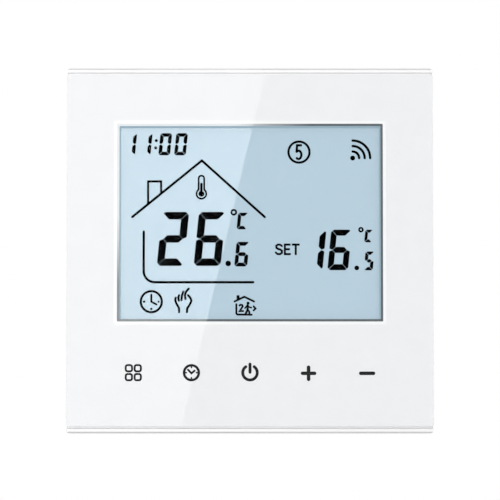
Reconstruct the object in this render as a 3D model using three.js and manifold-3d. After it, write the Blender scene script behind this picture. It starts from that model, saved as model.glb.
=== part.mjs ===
// Flush wall thermostat for a 60 mm pitch wall box, in millimetres.
// X points right, Y into the wall and Z up, seen from the room. The origin is the centre of the
// mounting plate's rear face, which lies on the wall.
import * as THREE from 'three';
import { mergeVertices } from 'three/addons/utils/BufferGeometryUtils.js';
import Module from 'manifold-3d';

const wasm = await Module();
wasm.setup();

// ---------- driving dimensions ----------
const faceWidth = 86;
const faceHeight = 86;
const projection = 13.3; // wall surface to panel front
const faceCorner = 0.9; // corner radius of the housing outline

const clearance = 0.1; // between pieces that are stacked or let into each other
const looseFit = 0.3; // around pieces that are dropped in
const overrun = 1; // how far a cutting tool runs past the surface it opens
const embed = 0.5; // how far a piece runs into the one it is joined to

// front panel and housing
const panelThickness = 2.0;
const panelCorner = 0.5;
const tapeThickness = 0.2;
const tapeInset = 1.5; // tape edge in from the panel edge
const ledgeHeight = 1.2; // housing strip above and below the panel
const ledgeGroove = 0.55; // open line between strip and panel
const ledgeStep = 0.9; // strip front behind the panel front
const ledgeChamfer = 0.35;
const frontWall = 1.5;
const skirtWall = 1.8;
const wallGap = 0.3; // housing edge to wall surface

// display window and touch keys
const windowWidth = 62.1;
const windowHeight = 46;
const windowCentreZ = 6.4;
const keyCount = 5;
const keyPitch = 13.7;
const keyZ = -28.7;
const keyNames = ['menu', 'clock', 'power', 'plus', 'minus'];

// display stack
const glassMargin = 2; // display glass beyond the window
const glassThickness = 1.8;
const backlightThickness = 2.4;
const backlightRim = 1.4;
const lightGuideThickness = 2.0;
const ledStripWidth = 1.0;
const zebraWidth = 1.6;
const zebraEndInset = 3;

// boards
const boardThickness = 1.6;
const boardSideGap = 2.2; // display board to the housing's side walls
const boardPostInset = 3; // post centre in from the board's edges
const boardPostRadius = 2.5;
const boardScrewRadius = 0.75;
const boardScrewHeadRadius = 1.7;
const boardScrewHeadHeight = 1.1;
const boardScrewBite = 2.0; // depth of the screw in the post
const boardCorner = 1;

// pan-head screws, as shares of the head's radius or height
const panTop = 0.82;
const recessReach = 0.6;
const recessHalfWidth = 0.13;
const recessDepth = 0.55;

// touch springs
const springRadius = 2.7; // to the wire's centre
const springWire = 0.5;
const springTurns = 4;
const stepsPerTurn = 9;
const springSeat = 0.15; // gap at each end of the wire
const springHoleGap = 0.6;

// mounting plate
const plateInset = 1.7; // plate edge to the housing's inner walls
const plateThickness = 1.2;
const plateCorner = 3;
const screwPitch = 60;
const slotWidth = 4.6;
const slotLength = 9;
const lipWidth = 8;
const lipHeight = 3.6;
const lipX = 20;
const snapGap = 0.3;

// rear housing
const boxWidth = 50;
const boxHeight = 50;
const boxCorner = 9; // leg of the corner chamfers, which let the box into a round wall box
const boxDepth = 27.7;
const boxWall = 1.6;
const flangeSide = 1.2; // flange beyond the box, left and right
const flangeEnd = 2.5; // flange beyond the box, above and below
const flangeCorner = 3;
const flangeThickness = 1.2;
const stakeInsetX = 2.8; // stake centre in from the flange's edges
const stakeInsetZ = 3.6;
const stakeRadius = 1.5;
const stakeHeadRadius = 2.4;
const ventCount = 5;
const ventPitch = 4;
const ventWidth = 1.6;
const ventLength = 14;
const ventFrontY = 9;

// housing lid and power board
const lidThickness = 1.2;
const powerPostZ = 14.6;
const powerPostRadius = 2.5;
const lidScrewRadius = 1.2;
const lidScrewHeadRadius = 2.0;
const lidScrewHeadHeight = 1.4;
const lidScrewBite = 7;
const pilotGap = 0.1;

// header between the two boards
const headerPins = 8;
const headerPitch = 2.54;
const headerWidth = 2.5;
const headerZ = 14;
const headerBaseHeight = 2.5;
const socketHeight = 8.5;
const pinSide = 0.64;
const pinLength = 6;
const pinHoleSide = 0.9;

// power board components: centre, size across and height from the board
const relay = {
  x: -12, z: -3.2, width: 19.2, height: 15.4, depth: 15.3, wall: 0.8, baseThickness: 1.5,
};
const transformer = { x: 6.6, z: -4.2, width: 12.8, height: 13.4, depth: 13, leg: 3, bulgeInset: 1 };
const xCapacitor = { x: 6.6, z: 7.3, width: 13, height: 5.6, depth: 11, corner: 0.5 };
const filterCapacitor = {
  x: 18.6, z: -7, radius: 4, depth: 12.5, edge: 0.4, grooveY: 1.9, grooveHalf: 0.5,
};
const varistor = { x: 18.8, z: 2.6, radius: 4.2, thickness: 3.6, standOff: 1 };
const fuseResistor = { x: -15, z: 8.6, radius: 1.6, length: 9, standOff: 1 };
const rectifier = { x: -5, z: 8.4, width: 5, height: 4, depth: 2.4 };

// relay movement
const yokeThickness = 1.2;
const yokeWidth = 8;
const coreRadius = 2;
const poleRadius = 3;
const poleThickness = 0.6;
const coilRadius = 4.6;
const coilFlangeRadius = 5.2;
const coilFlangeThickness = 0.7;
const coilHeight = 8.6;
const armatureThickness = 1;
const armatureGap = 0.6; // pole face to armature when released
const armatureSeat = 0.3; // yoke end to armature
const relayCorner = 0.8;
const yokeBeyondCore = 1; // yoke and armature beyond the core, past its radius or its pole's
const armShort = 2; // contact arm's end to the case's inner wall
const armThinning = 0.3; // share of the armature's thickness taken off each side of the arm

// display board components
const wifiModule = {
  x: -21.5, z: -22, width: 16, height: 24, board: 0.8, canHeight: 17, canInset: 0.6, canSunk: 0.2,
};
const controllerChip = { x: 7, z: -9, side: 10, thickness: 1.4 };
const thermistor = {
  x: 24, edge: 2.8, bead: 1.1, beadFlatness: 0.8, lead: 0.25, leadSpread: 1.2, standOff: 1.6,
};

// terminals
const mainsPoles = 4;
const sensorPoles = 2;
const polePitch = 7;
const blockEnd = 0.5; // plastic beyond the outer poles' pitch
const blockHeight = 6.5;
const blockDepth = 9.8;
const bayFloorZ = 13.6;
const bayDepth = 10.8;
const cageWidth = 5;
const cageLength = 4.8;
const cageHeight = 4.2;
const cageWall = 0.7;
const cageTravel = 2;
const cageFloorGap = 1;
const screwThreadRadius = 1.4;
const screwHeadRadius = 2.1;
const screwHeadHeight = 1.6;
const screwWeb = 0.6; // plastic between the cage's chamber and the screw head
const screwSlotWidth = 0.8;
const screwSlotDepth = 0.8;
const solderHoleRadius = 0.8;

// wall-box screws
const boxScrewRadius = 1.9;
const boxScrewHeadRadius = 3.3;
const boxScrewHeadHeight = 2.1;
const boxScrewLength = 16;

// vents and opening notch of the front housing
const airSlotCount = 7;
const airSlotPitch = 3.6;
const airSlotWidth = 1.6;
const airSlotLength = 5;
const notchWidth = 8;
const notchDepth = 1.4;

// ---------- depth stack, front to back ----------
const panelFront = -projection;
const panelBack = panelFront + panelThickness;
const wallFront = panelBack + tapeThickness;
const wallBack = wallFront + frontWall;
const ledgeFront = panelFront + ledgeStep;
const skirtBack = -wallGap;
const glassFront = panelBack + clearance;
const glassBack = glassFront + glassThickness;
const backlightFront = glassBack + clearance;
const backlightBack = backlightFront + backlightThickness;
const displayBoardFront = backlightBack + clearance;
const displayBoardBack = displayBoardFront + boardThickness;
const plateFront = -plateThickness;
const flangeBack = plateFront - clearance / 2;
const flangeFront = flangeBack - flangeThickness;
const lidFront = flangeFront + clearance;
const lidBack = lidFront + lidThickness;
const headerBaseBack = displayBoardBack + headerBaseHeight;
const socketFront = headerBaseBack + clearance;
const powerBoardFront = socketFront + socketHeight;
const powerBoardBack = powerBoardFront + boardThickness;
const boxInside = boxDepth - boxWall;
const bayFront = boxDepth - bayDepth;
const blockFront = bayFront + looseFit;
const blockBack = blockFront + blockDepth;

// ---------- derived plan sizes ----------
const innerWidth = faceWidth - 2 * skirtWall;
const innerHeight = faceHeight - 2 * skirtWall;
const plateWidth = innerWidth - 2 * plateInset;
const plateHeight = innerHeight - 2 * plateInset;
const displayBoardWidth = innerWidth - 2 * boardSideGap;
const displayBoardHeight = plateHeight - 2 * (plateThickness + looseFit);
const panelHeight = faceHeight - 2 * (ledgeHeight + ledgeGroove);
const glassWidth = windowWidth + 2 * glassMargin;
const glassHeight = windowHeight + 2 * glassMargin;
const keyXs = Array.from({ length: keyCount }, (_, i) => (i - (keyCount - 1) / 2) * keyPitch);
const springHoleRadius = springRadius + springWire / 2 + springHoleGap;
const boardPosts = corners(
  displayBoardWidth / 2 - boardPostInset, displayBoardHeight / 2 - boardPostInset);
const flangeWidth = boxWidth + 2 * flangeSide;
const flangeHeight = boxHeight + 2 * flangeEnd;
const powerPostX = blockHalfWidth(mainsPoles) + looseFit + boxWall + powerPostRadius + clearance;
const powerPosts = corners(powerPostX, powerPostZ);
const stakes = corners(flangeWidth / 2 - stakeInsetX, flangeHeight / 2 - stakeInsetZ);
const innerBoxWidth = boxWidth - 2 * boxWall;
const innerBoxHeight = boxHeight - 2 * boxWall;
const innerBoxCorner = boxCorner - chamferGrowth(boxWall);
const screwHoleX = screwPitch / 2;
const headerLength = headerPins * headerPitch;

// ---------- finishes ----------
function finish(color, roughness, metalness = 0) {
  return () => new THREE.MeshStandardMaterial({ color, roughness, metalness });
}

const finishes = {
  panel: finish(0xf3f3f5, 0.05),
  whitePlastic: finish(0xf0f0f0, 0.35),
  backPlastic: finish(0xe9e9e7, 0.5),
  tape: finish(0x202020, 0.9),
  displayGlass: finish(0xc4dbe6, 0.1),
  lightGuide: finish(0xe8f4fa, 0.15),
  ledStrip: finish(0xf5f0d0, 0.5),
  elastomer: finish(0xb8a8b0, 0.7),
  board: finish(0x1f6b3a, 0.45),
  chip: finish(0x1b1b1d, 0.5),
  shield: finish(0xc9ccd0, 0.3, 1),
  spring: finish(0xb9bcc0, 0.3, 1),
  steel: finish(0xc2c4c2, 0.38, 1),
  screwSteel: finish(0xa8aaad, 0.3, 1),
  brass: finish(0xc6a25a, 0.3, 1),
  copper: finish(0xb4653a, 0.35, 1),
  connector: finish(0x18181a, 0.5),
  relayCase: finish(0x2258a8, 0.4),
  ferrite: finish(0x3a3a3e, 0.6),
  winding: finish(0xd9b93c, 0.5),
  filmCase: finish(0xd8c23a, 0.45),
  canSleeve: finish(0x24262c, 0.4),
  varistorBlue: finish(0x2c6fb0, 0.45),
  resistorGrey: finish(0x7f9d8a, 0.6),
  terminal: finish(0x2f8f4e, 0.5),
};

// ---------- outlines, in the X-Z plane ----------
function corners(x, z) {
  return [[-x, z], [x, z], [-x, -z], [x, -z]];
}

function roundedRect(width, height, radius, x = 0, z = 0, Outline = THREE.Shape) {
  const w = width / 2;
  const h = height / 2;
  const outline = new Outline();
  outline.moveTo(x - w + radius, z - h);
  outline.lineTo(x + w - radius, z - h);
  outline.absarc(x + w - radius, z - h + radius, radius, -Math.PI / 2, 0);
  outline.lineTo(x + w, z + h - radius);
  outline.absarc(x + w - radius, z + h - radius, radius, 0, Math.PI / 2);
  outline.lineTo(x - w + radius, z + h);
  outline.absarc(x - w + radius, z + h - radius, radius, Math.PI / 2, Math.PI);
  outline.lineTo(x - w, z - h + radius);
  outline.absarc(x - w + radius, z - h + radius, radius, Math.PI, 1.5 * Math.PI);
  return outline;
}

function rectangle(width, height, x = 0, z = 0, Outline = THREE.Shape) {
  const w = width / 2;
  const h = height / 2;
  const points = [[x - w, z - h], [x + w, z - h], [x + w, z + h], [x - w, z + h]];
  return new Outline(points.map(([px, pz]) => new THREE.Vector2(px, pz)));
}

function chamferedRect(width, height, chamfer) {
  const w = width / 2;
  const h = height / 2;
  const points = [
    [w, -h + chamfer], [w, h - chamfer], [w - chamfer, h], [-w + chamfer, h],
    [-w, h - chamfer], [-w, -h + chamfer], [-w + chamfer, -h], [w - chamfer, -h],
  ];
  return new THREE.Shape(points.map(([x, z]) => new THREE.Vector2(x, z)));
}

/** How much a corner chamfer's leg grows when its outline is offset outwards. */
function chamferGrowth(offset) {
  return offset * (2 - Math.SQRT2);
}

function circle(x, z, radius, Outline = THREE.Path) {
  const outline = new Outline();
  outline.absarc(x, z, radius, 0, 2 * Math.PI);
  return outline;
}

// ---------- solids ----------
/** Extrudes an X-Z outline from yFront to yBack. */
function slab(outline, yFront, yBack, curveSegments = 6) {
  const options = { depth: yBack - yFront, bevelEnabled: false, curveSegments };
  const geometry = new THREE.ExtrudeGeometry(outline, options);
  geometry.rotateX(Math.PI / 2);
  geometry.translate(0, yBack, 0);
  return geometry;
}

function block(x0, x1, y0, y1, z0, z1) {
  const geometry = new THREE.BoxGeometry(Math.abs(x1 - x0), Math.abs(y1 - y0), Math.abs(z1 - z0));
  geometry.translate((x0 + x1) / 2, (y0 + y1) / 2, (z0 + z1) / 2);
  return geometry;
}

/** Extrudes an outline of [y, z] corners from x0 to x1. */
function alongX(points, x0, x1) {
  const outline = new THREE.Shape(points.map(([y, z]) => new THREE.Vector2(y, z)));
  const geometry = new THREE.ExtrudeGeometry(outline, { depth: x1 - x0, bevelEnabled: false });
  geometry.applyMatrix4(new THREE.Matrix4().makeBasis(
    new THREE.Vector3(0, 1, 0), new THREE.Vector3(0, 0, 1), new THREE.Vector3(1, 0, 0)));
  return geometry.translate(x0, 0, 0);
}

/** Round bar along Y, which may taper from radius to backRadius. */
function barrel(x, z, radius, yFront, yBack, segments = 12, backRadius = radius) {
  const geometry = new THREE.CylinderGeometry(backRadius, radius, yBack - yFront, segments);
  geometry.translate(x, (yFront + yBack) / 2, z);
  return geometry;
}

function solidOf(geometry) {
  const bare = geometry.clone();
  bare.deleteAttribute('normal');
  bare.deleteAttribute('uv');
  const merged = mergeVertices(bare, 1e-5);
  return new wasm.Manifold(new wasm.Mesh({
    numProp: 3,
    vertProperties: Float32Array.from(merged.attributes.position.array),
    triVerts: Uint32Array.from(merged.index.array),
  }));
}

function geometryOf(solid) {
  const mesh = solid.getMesh();
  const geometry = new THREE.BufferGeometry();
  geometry.setAttribute('position', new THREE.BufferAttribute(mesh.vertProperties, mesh.numProp));
  geometry.setIndex(new THREE.BufferAttribute(mesh.triVerts, 1));
  return geometry;
}

function join(pieces) {
  return geometryOf(pieces.map(solidOf).reduce((whole, piece) => whole.add(piece)));
}

function cut(base, tools) {
  return geometryOf(tools.map(solidOf).reduce((whole, tool) => whole.subtract(tool), solidOf(base)));
}

// ---------- front unit ----------
function frontPanel() {
  return slab(roundedRect(faceWidth, panelHeight, panelCorner), panelFront, panelBack, 3);
}

function panelTape() {
  const outline = rectangle(faceWidth - 2 * tapeInset, panelHeight - 2 * tapeInset);
  outline.holes.push(glassOpening());
  outline.holes.push(...keyXs.map((x) => circle(x, keyZ, springHoleRadius)));
  return slab(outline, panelBack, wallFront, 6);
}

function glassOpening() {
  const width = glassWidth + 2 * looseFit;
  const height = glassHeight + 2 * looseFit;
  return rectangle(width, height, 0, windowCentreZ, THREE.Path);
}

function housingShell() {
  const outline = roundedRect(faceWidth, faceHeight, faceCorner);
  outline.holes.push(glassOpening());
  outline.holes.push(...keyXs.map((x) => circle(x, keyZ, springHoleRadius)));
  const skirt = roundedRect(faceWidth, faceHeight, faceCorner);
  skirt.holes.push(rectangle(innerWidth, innerHeight, 0, 0, THREE.Path));
  return join([slab(outline, wallFront, wallBack, 6), slab(skirt, wallBack, skirtBack, 6)]);
}

/** Wedge along X that bevels the strip's outer front edge, on the upper (1) or lower (-1) side. */
function ledgeBevel(side) {
  const edge = faceHeight / 2;
  const reach = 2 * ledgeChamfer;
  return alongX([
    [ledgeFront - ledgeChamfer, side * (edge - reach)],
    [ledgeFront + reach, side * (edge + ledgeChamfer)],
    [ledgeFront - ledgeChamfer, side * (edge + ledgeChamfer)],
  ], -faceWidth, faceWidth);
}

/** Strips above and below the panel, with a chamfer on their outer edges. */
function housingLedges() {
  const stripFoot = faceHeight / 2 - ledgeHeight;
  const outline = roundedRect(faceWidth, faceHeight, faceCorner);
  return cut(slab(outline, ledgeFront, wallFront), [
    block(-faceWidth, faceWidth, panelFront, wallBack, -stripFoot, stripFoot),
    ledgeBevel(1),
    ledgeBevel(-1),
  ]);
}

function airSlots() {
  const slotBack = wallBack + clearance + airSlotLength;
  return Array.from({ length: airSlotCount }, (_, i) => (i - (airSlotCount - 1) / 2) * airSlotPitch)
    .flatMap((x) => [1, -1].map((side) => block(
      x - airSlotWidth / 2, x + airSlotWidth / 2, wallBack + clearance, slotBack,
      side * (innerHeight / 2 - overrun), side * (faceHeight / 2 + overrun))));
}

function frontHousing() {
  const ribBottom = plateHeight / 2 + snapGap;
  const ribs = [-lipX, lipX].flatMap((x) => [1, -1].map((side) => block(
    x - lipWidth / 2, x + lipWidth / 2, wallBack, plateFront,
    side * ribBottom, side * (innerHeight / 2))));
  const posts = boardPosts.map(([x, z]) => barrel(x, z, boardPostRadius, wallBack, displayBoardFront));
  const pilots = boardPosts.map(([x, z]) => barrel(
    x, z, boardScrewRadius + pilotGap, displayBoardFront - boardScrewBite - looseFit,
    displayBoardFront + overrun));
  const notch = block(-notchWidth / 2, notchWidth / 2, skirtBack - notchDepth, skirtBack + overrun,
    -faceHeight / 2 - overrun, -innerHeight / 2 + overrun / 2);
  const body = join([housingShell(), housingLedges(), ...ribs, ...posts]);
  return cut(body, [...pilots, ...airSlots(), notch]);
}

function displayGlass() {
  return slab(rectangle(glassWidth, glassHeight, 0, windowCentreZ), glassFront, glassBack);
}

const backlightBottom = windowCentreZ - glassHeight / 2 + zebraWidth + 2 * clearance;
const backlightTop = windowCentreZ + glassHeight / 2;
const backlightMidZ = (backlightBottom + backlightTop) / 2;
const backlightHeight = backlightTop - backlightBottom;
const guideWidth = glassWidth - 2 * backlightRim - ledStripWidth - 3 * clearance;
const guideHeight = backlightHeight - 2 * backlightRim - 2 * clearance;
const guideLeft = -glassWidth / 2 + backlightRim + ledStripWidth + 2 * clearance;
const guideFloor = backlightThickness - lightGuideThickness - clearance;

/** Open tray behind the display glass, which holds the light guide and the LED strip. */
function backlightFrame() {
  const outline = rectangle(glassWidth, backlightHeight, 0, backlightMidZ);
  const tray = slab(outline, backlightFront, backlightBack);
  const pocket = rectangle(
    glassWidth - 2 * backlightRim, backlightHeight - 2 * backlightRim, 0, backlightMidZ);
  return cut(tray, [slab(pocket, backlightFront - overrun, backlightBack - guideFloor)]);
}

function lightGuide() {
  const outline = rectangle(guideWidth, guideHeight, guideLeft + guideWidth / 2, backlightMidZ);
  return slab(outline, backlightFront, backlightFront + lightGuideThickness);
}

function ledStrip() {
  const x = -glassWidth / 2 + backlightRim + clearance;
  return block(x, x + ledStripWidth, backlightFront, backlightFront + lightGuideThickness,
    backlightMidZ - guideHeight / 2, backlightMidZ + guideHeight / 2);
}

function zebraStrip() {
  const z = windowCentreZ - glassHeight / 2 + clearance;
  const half = glassWidth / 2 - zebraEndInset;
  return block(-half, half, glassBack, displayBoardFront, z, z + zebraWidth);
}

function displayBoard() {
  const outline = roundedRect(displayBoardWidth, displayBoardHeight, boardCorner);
  outline.holes.push(...boardPosts.map(([x, z]) => circle(x, z, boardScrewRadius + looseFit)));
  return slab(outline, displayBoardFront, displayBoardBack, 6);
}

/** Helical compression spring about the local Y axis, which carries a key's sensing point to the panel. */
function touchSpring() {
  const length = displayBoardFront - panelBack - springWire - 2 * springSeat;
  const helix = new THREE.Curve();
  helix.getPoint = (t, target = new THREE.Vector3()) => {
    const angle = 2 * Math.PI * springTurns * t;
    return target.set(
      springRadius * Math.cos(angle), (t - 0.5) * length, springRadius * Math.sin(angle));
  };
  const wire = circle(0, 0, springWire / 2, THREE.Shape);
  const options = { steps: springTurns * stepsPerTurn, curveSegments: 3, extrudePath: helix };
  return new THREE.ExtrudeGeometry(wire, options);
}

/** Pan-head screw along local Y from the head's seat at y = 0, with a cross recess. */
function panScrew(shankRadius, headRadius, headHeight, length, segments = 12) {
  const body = join([
    barrel(0, 0, headRadius * panTop, -headHeight, -headHeight / 2, segments, headRadius),
    barrel(0, 0, headRadius, -headHeight / 2, 0, segments),
    barrel(0, 0, shankRadius, -headHeight / 4, length, 8),
  ]);
  const arm = headRadius * recessReach;
  const bit = headRadius * recessHalfWidth;
  const floor = -headHeight * (1 - recessDepth);
  return cut(body, [
    block(-arm, arm, -headHeight - overrun, floor, -bit, bit),
    block(-bit, bit, -headHeight - overrun, floor, -arm, arm),
  ]);
}

/** Radio board with its shield can, which reaches back as far as the rear housing's flange allows. */
function wifiModuleSolid() {
  const { x, z, width, height, board, canHeight, canInset, canSunk } = wifiModule;
  const boardBack = displayBoardBack + board;
  const top = z + height / 2;
  return join([
    slab(rectangle(width, height, x, z), displayBoardBack, boardBack),
    slab(roundedRect(width - 2 * canInset, canHeight, canInset, x, top - canInset - canHeight / 2),
      boardBack - canSunk, flangeFront - looseFit, 2),
  ]);
}

function thermistorSolid() {
  const { x, edge, bead, beadFlatness, lead, leadSpread, standOff } = thermistor;
  const z = edge - displayBoardHeight / 2;
  const centre = displayBoardBack + standOff;
  const ball = new THREE.SphereGeometry(bead, 10, 6);
  ball.scale(1, beadFlatness, 1);
  ball.translate(x, centre, z);
  const legs = [-1, 1].map((side) => barrel(
    x + side * leadSpread / 2, z, lead, displayBoardBack, centre, 6));
  return join([ball, ...legs]);
}

function headerBase() {
  return block(-headerLength / 2, headerLength / 2, displayBoardBack, headerBaseBack,
    headerZ - headerWidth / 2, headerZ + headerWidth / 2);
}

function headerRow(side, yFront, yBack) {
  return Array.from({ length: headerPins }, (_, i) => {
    const x = (i - (headerPins - 1) / 2) * headerPitch;
    return block(x - side / 2, x + side / 2, yFront, yBack, headerZ - side / 2, headerZ + side / 2);
  });
}

function headerPinsSolid() {
  return join([headerBase(), ...headerRow(pinSide, headerBaseBack - embed, headerBaseBack + pinLength)]);
}

function headerSocket() {
  const body = block(-headerLength / 2, headerLength / 2, socketFront, powerBoardFront,
    headerZ - headerWidth / 2, headerZ + headerWidth / 2);
  return cut(body, headerRow(pinHoleSide, socketFront - overrun, headerBaseBack + pinLength + looseFit));
}

// ---------- mounting plate ----------
/** Slot with round ends, kept just short of a full half circle so that no side has zero length. */
function slotPath(x, z, width, height) {
  return roundedRect(width, height, Math.min(width, height) / 2 - clearance / 10, x, z, THREE.Path);
}

function mountingPlate() {
  const outline = roundedRect(plateWidth, plateHeight, plateCorner);
  const opening = chamferedRect(
    boxWidth + 2 * looseFit, boxHeight + 2 * looseFit, boxCorner + chamferGrowth(looseFit));
  outline.holes.push(
    new THREE.Path(opening.getPoints()),
    slotPath(-screwHoleX, 0, slotWidth, slotLength),
    slotPath(screwHoleX, 0, slotWidth, slotLength),
    slotPath(0, screwHoleX, slotLength, slotWidth),
    slotPath(0, -screwHoleX, slotLength, slotWidth),
  );
  const lips = [-lipX, lipX].flatMap((x) => [1, -1].map((side) => block(
    x - lipWidth / 2, x + lipWidth / 2, plateFront - lipHeight, plateFront + clearance,
    side * (plateHeight / 2 - plateThickness), side * plateHeight / 2)));
  const holes = stakes.map(([x, z]) => stake(x, z, clearance, plateFront - overrun, overrun));
  return cut(join([slab(outline, plateFront, 0, 4), ...lips]), holes);
}

/** Stake through the plate: a round shank that widens to the plate's rear face, and goes on beyond it. */
function stake(x, z, gap, yFront, beyond) {
  const shank = stakeRadius + gap;
  const head = stakeHeadRadius + gap;
  const pieces = [
    barrel(x, z, shank, yFront, plateFront / 2),
    barrel(x, z, shank, plateFront / 2, 0, 12, head),
  ];
  return join(beyond > 0 ? [...pieces, barrel(x, z, head, 0, beyond)] : pieces);
}

// ---------- rear housing ----------
function blockHalfWidth(poles) {
  return poles * polePitch / 2 + blockEnd;
}

/** Terminal bay cut from the box's rear edge, on the upper (side 1) or lower (side -1) side. */
function bay(side, poles, grow) {
  const half = blockHalfWidth(poles) + looseFit + grow;
  return block(-half, half, bayFront - grow, boxDepth + overrun,
    side * (bayFloorZ - grow), side * (boxHeight / 2 + overrun));
}

function poleXs(poles) {
  return Array.from({ length: poles }, (_, i) => (i - (poles - 1) / 2) * polePitch);
}

const bays = [[1, mainsPoles], [-1, sensorPoles]];

function rearHousing() {
  const outer = join([
    slab(chamferedRect(boxWidth, boxHeight, boxCorner), flangeFront, boxDepth),
    slab(roundedRect(flangeWidth, flangeHeight, flangeCorner), flangeFront, flangeBack, 4),
    ...stakes.map(([x, z]) => stake(x, z, 0, flangeBack - embed, 0)),
  ]);
  const room = slab(
    chamferedRect(innerBoxWidth, innerBoxHeight, innerBoxCorner), flangeFront - overrun, boxInside);
  const cavity = cut(room, bays.map(([side, poles]) => bay(side, poles, boxWall)));
  const vents = Array.from({ length: ventCount }, (_, i) => (i - (ventCount - 1) / 2) * ventPitch)
    .map((z) => block(-boxWidth, boxWidth, ventFrontY, ventFrontY + ventLength,
      z - ventWidth / 2, z + ventWidth / 2));
  const pinHoles = bays.flatMap(([side, poles]) => poleXs(poles).map((x) => barrel(
    x, side * (bayFloorZ + blockHeight / 2), solderHoleRadius,
    bayFront - boxWall - overrun, bayFront + overrun, 8)));
  const bayCuts = bays.map(([side, poles]) => bay(side, poles, 0));
  const shell = cut(outer, [cavity, ...bayCuts, ...vents, ...pinHoles]);
  const posts = powerPosts.map(([x, z]) => barrel(
    x, z, powerPostRadius, powerBoardBack, boxInside + boxWall / 2));
  const pilots = powerPosts.map(([x, z]) => barrel(
    x, z, lidScrewRadius + pilotGap, powerBoardBack - overrun, powerBoardBack + lidScrewBite + embed));
  return cut(join([shell, ...posts]), pilots);
}

function housingLid() {
  const outline = chamferedRect(
    innerBoxWidth - 2 * clearance, innerBoxHeight - 2 * clearance, innerBoxCorner);
  const socketGap = 2 * looseFit;
  outline.holes.push(
    rectangle(headerLength + socketGap, headerWidth + socketGap, 0, headerZ, THREE.Path));
  const legs = powerPosts.map(([x, z]) => barrel(x, z, powerPostRadius, lidBack - embed, powerBoardFront));
  const holes = powerPosts.flatMap(([x, z]) => [
    barrel(x, z, lidScrewHeadRadius + pilotGap, lidFront - overrun, lidFront + lidScrewHeadHeight),
    barrel(x, z, lidScrewRadius + pilotGap, lidFront, powerBoardFront + overrun),
  ]);
  return cut(join([slab(outline, lidFront, lidBack), ...legs]), holes);
}

function powerBoard() {
  const outline = chamferedRect(
    innerBoxWidth - 2 * looseFit, innerBoxHeight - 2 * looseFit, innerBoxCorner);
  outline.holes.push(...powerPosts.map(([x, z]) => circle(x, z, lidScrewRadius + looseFit)));
  return slab(outline, powerBoardFront, powerBoardBack, 6);
}

// ---------- power board components ----------
function relayCase() {
  const { x, z, width, height, depth, wall } = relay;
  const back = powerBoardBack + depth;
  return cut(slab(roundedRect(width, height, relayCorner, x, z), powerBoardBack, back, 3), [
    slab(rectangle(width - 2 * wall, height - 2 * wall, x, z), powerBoardBack - overrun, back - wall),
  ]);
}

const relayInnerWidth = relay.width - 2 * relay.wall;
const relayInnerHeight = relay.height - 2 * relay.wall;
const relayLeft = relay.x - relayInnerWidth / 2 + looseFit;
const relayBaseBack = powerBoardBack + clearance + relay.baseThickness;
const yokeFloor = relayBaseBack + clearance + yokeThickness;
const coilFront = yokeFloor + clearance;
const poleFront = coilFront + coilHeight + clearance;
const poleBack = poleFront + poleThickness;
const armatureFront = poleBack + armatureGap;
const yokeBack = armatureFront - armatureSeat;
const coilX = relayLeft + yokeThickness + looseFit + coilFlangeRadius;

function relayBase() {
  return slab(
    rectangle(relayInnerWidth - 2 * clearance, relayInnerHeight - 2 * clearance, relay.x, relay.z),
    powerBoardBack + clearance, relayBaseBack);
}

function relayYoke() {
  const floorFront = relayBaseBack + clearance;
  const z0 = relay.z - yokeWidth / 2;
  const z1 = relay.z + yokeWidth / 2;
  return join([
    block(relayLeft, relayLeft + yokeThickness, floorFront, yokeBack, z0, z1),
    block(relayLeft, coilX + coreRadius + yokeBeyondCore, floorFront, yokeFloor, z0, z1),
    barrel(coilX, relay.z, coreRadius, floorFront + embed, poleBack),
    barrel(coilX, relay.z, poleRadius, poleFront, poleBack),
  ]);
}

/** Bobbin with its winding, turned about local Y. */
function relayCoil() {
  const bore = coreRadius + clearance;
  const profile = [
    [bore, 0], [coilFlangeRadius, 0], [coilFlangeRadius, coilFlangeThickness],
    [coilRadius, coilFlangeThickness], [coilRadius, coilHeight - coilFlangeThickness],
    [coilFlangeRadius, coilHeight - coilFlangeThickness], [coilFlangeRadius, coilHeight],
    [bore, coilHeight], [bore, 0],
  ];
  return new THREE.LatheGeometry(profile.map(([r, y]) => new THREE.Vector2(r, y)), 16);
}

/** Hinged plate over the pole, with a narrower contact arm. */
function relayArmature() {
  const z = relay.z;
  const plateRight = coilX + poleRadius + yokeBeyondCore;
  const armRight = relay.x + relayInnerWidth / 2 - armShort;
  const back = armatureFront + armatureThickness;
  const armHalf = yokeWidth / 4;
  const armInset = armatureThickness * armThinning;
  return join([
    block(relayLeft, plateRight, armatureFront, back, z - yokeWidth / 2, z + yokeWidth / 2),
    block(plateRight - embed, armRight,
      armatureFront + armInset, back - armInset, z - armHalf, z + armHalf),
  ]);
}

/** E-shaped core: two outer legs and two yokes around the winding. */
function transformerCore() {
  const { x, z, width, depth, leg } = transformer;
  const frame = rectangle(width, depth);
  frame.holes.push(rectangle(width - 2 * leg, depth - 2 * leg, 0, 0, THREE.Path));
  const ring = new THREE.ExtrudeGeometry(frame, { depth: leg * 2, bevelEnabled: false });
  ring.translate(x, powerBoardBack + depth / 2, z - leg);
  return ring;
}

/** Bobbin and winding, threaded through the core: wider above and below it. */
function transformerWinding() {
  const { x, z, width, height, depth, leg, bulgeInset } = transformer;
  const front = powerBoardBack + leg + clearance;
  const back = powerBoardBack + depth - leg - clearance;
  const waist = width / 2 - leg - clearance;
  const inner = block(x - waist, x + waist, front, back, z - height / 2, z + height / 2);
  const bulge = [1, -1].map((side) => block(
    x - width / 2 + bulgeInset, x + width / 2 - bulgeInset, front, back,
    z + side * (leg + looseFit), z + side * height / 2));
  return join([inner, ...bulge]);
}

function xCapacitorSolid() {
  const { x, z, width, height, depth, corner } = xCapacitor;
  return slab(roundedRect(width, height, corner, x, z), powerBoardBack, powerBoardBack + depth, 2);
}

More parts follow.
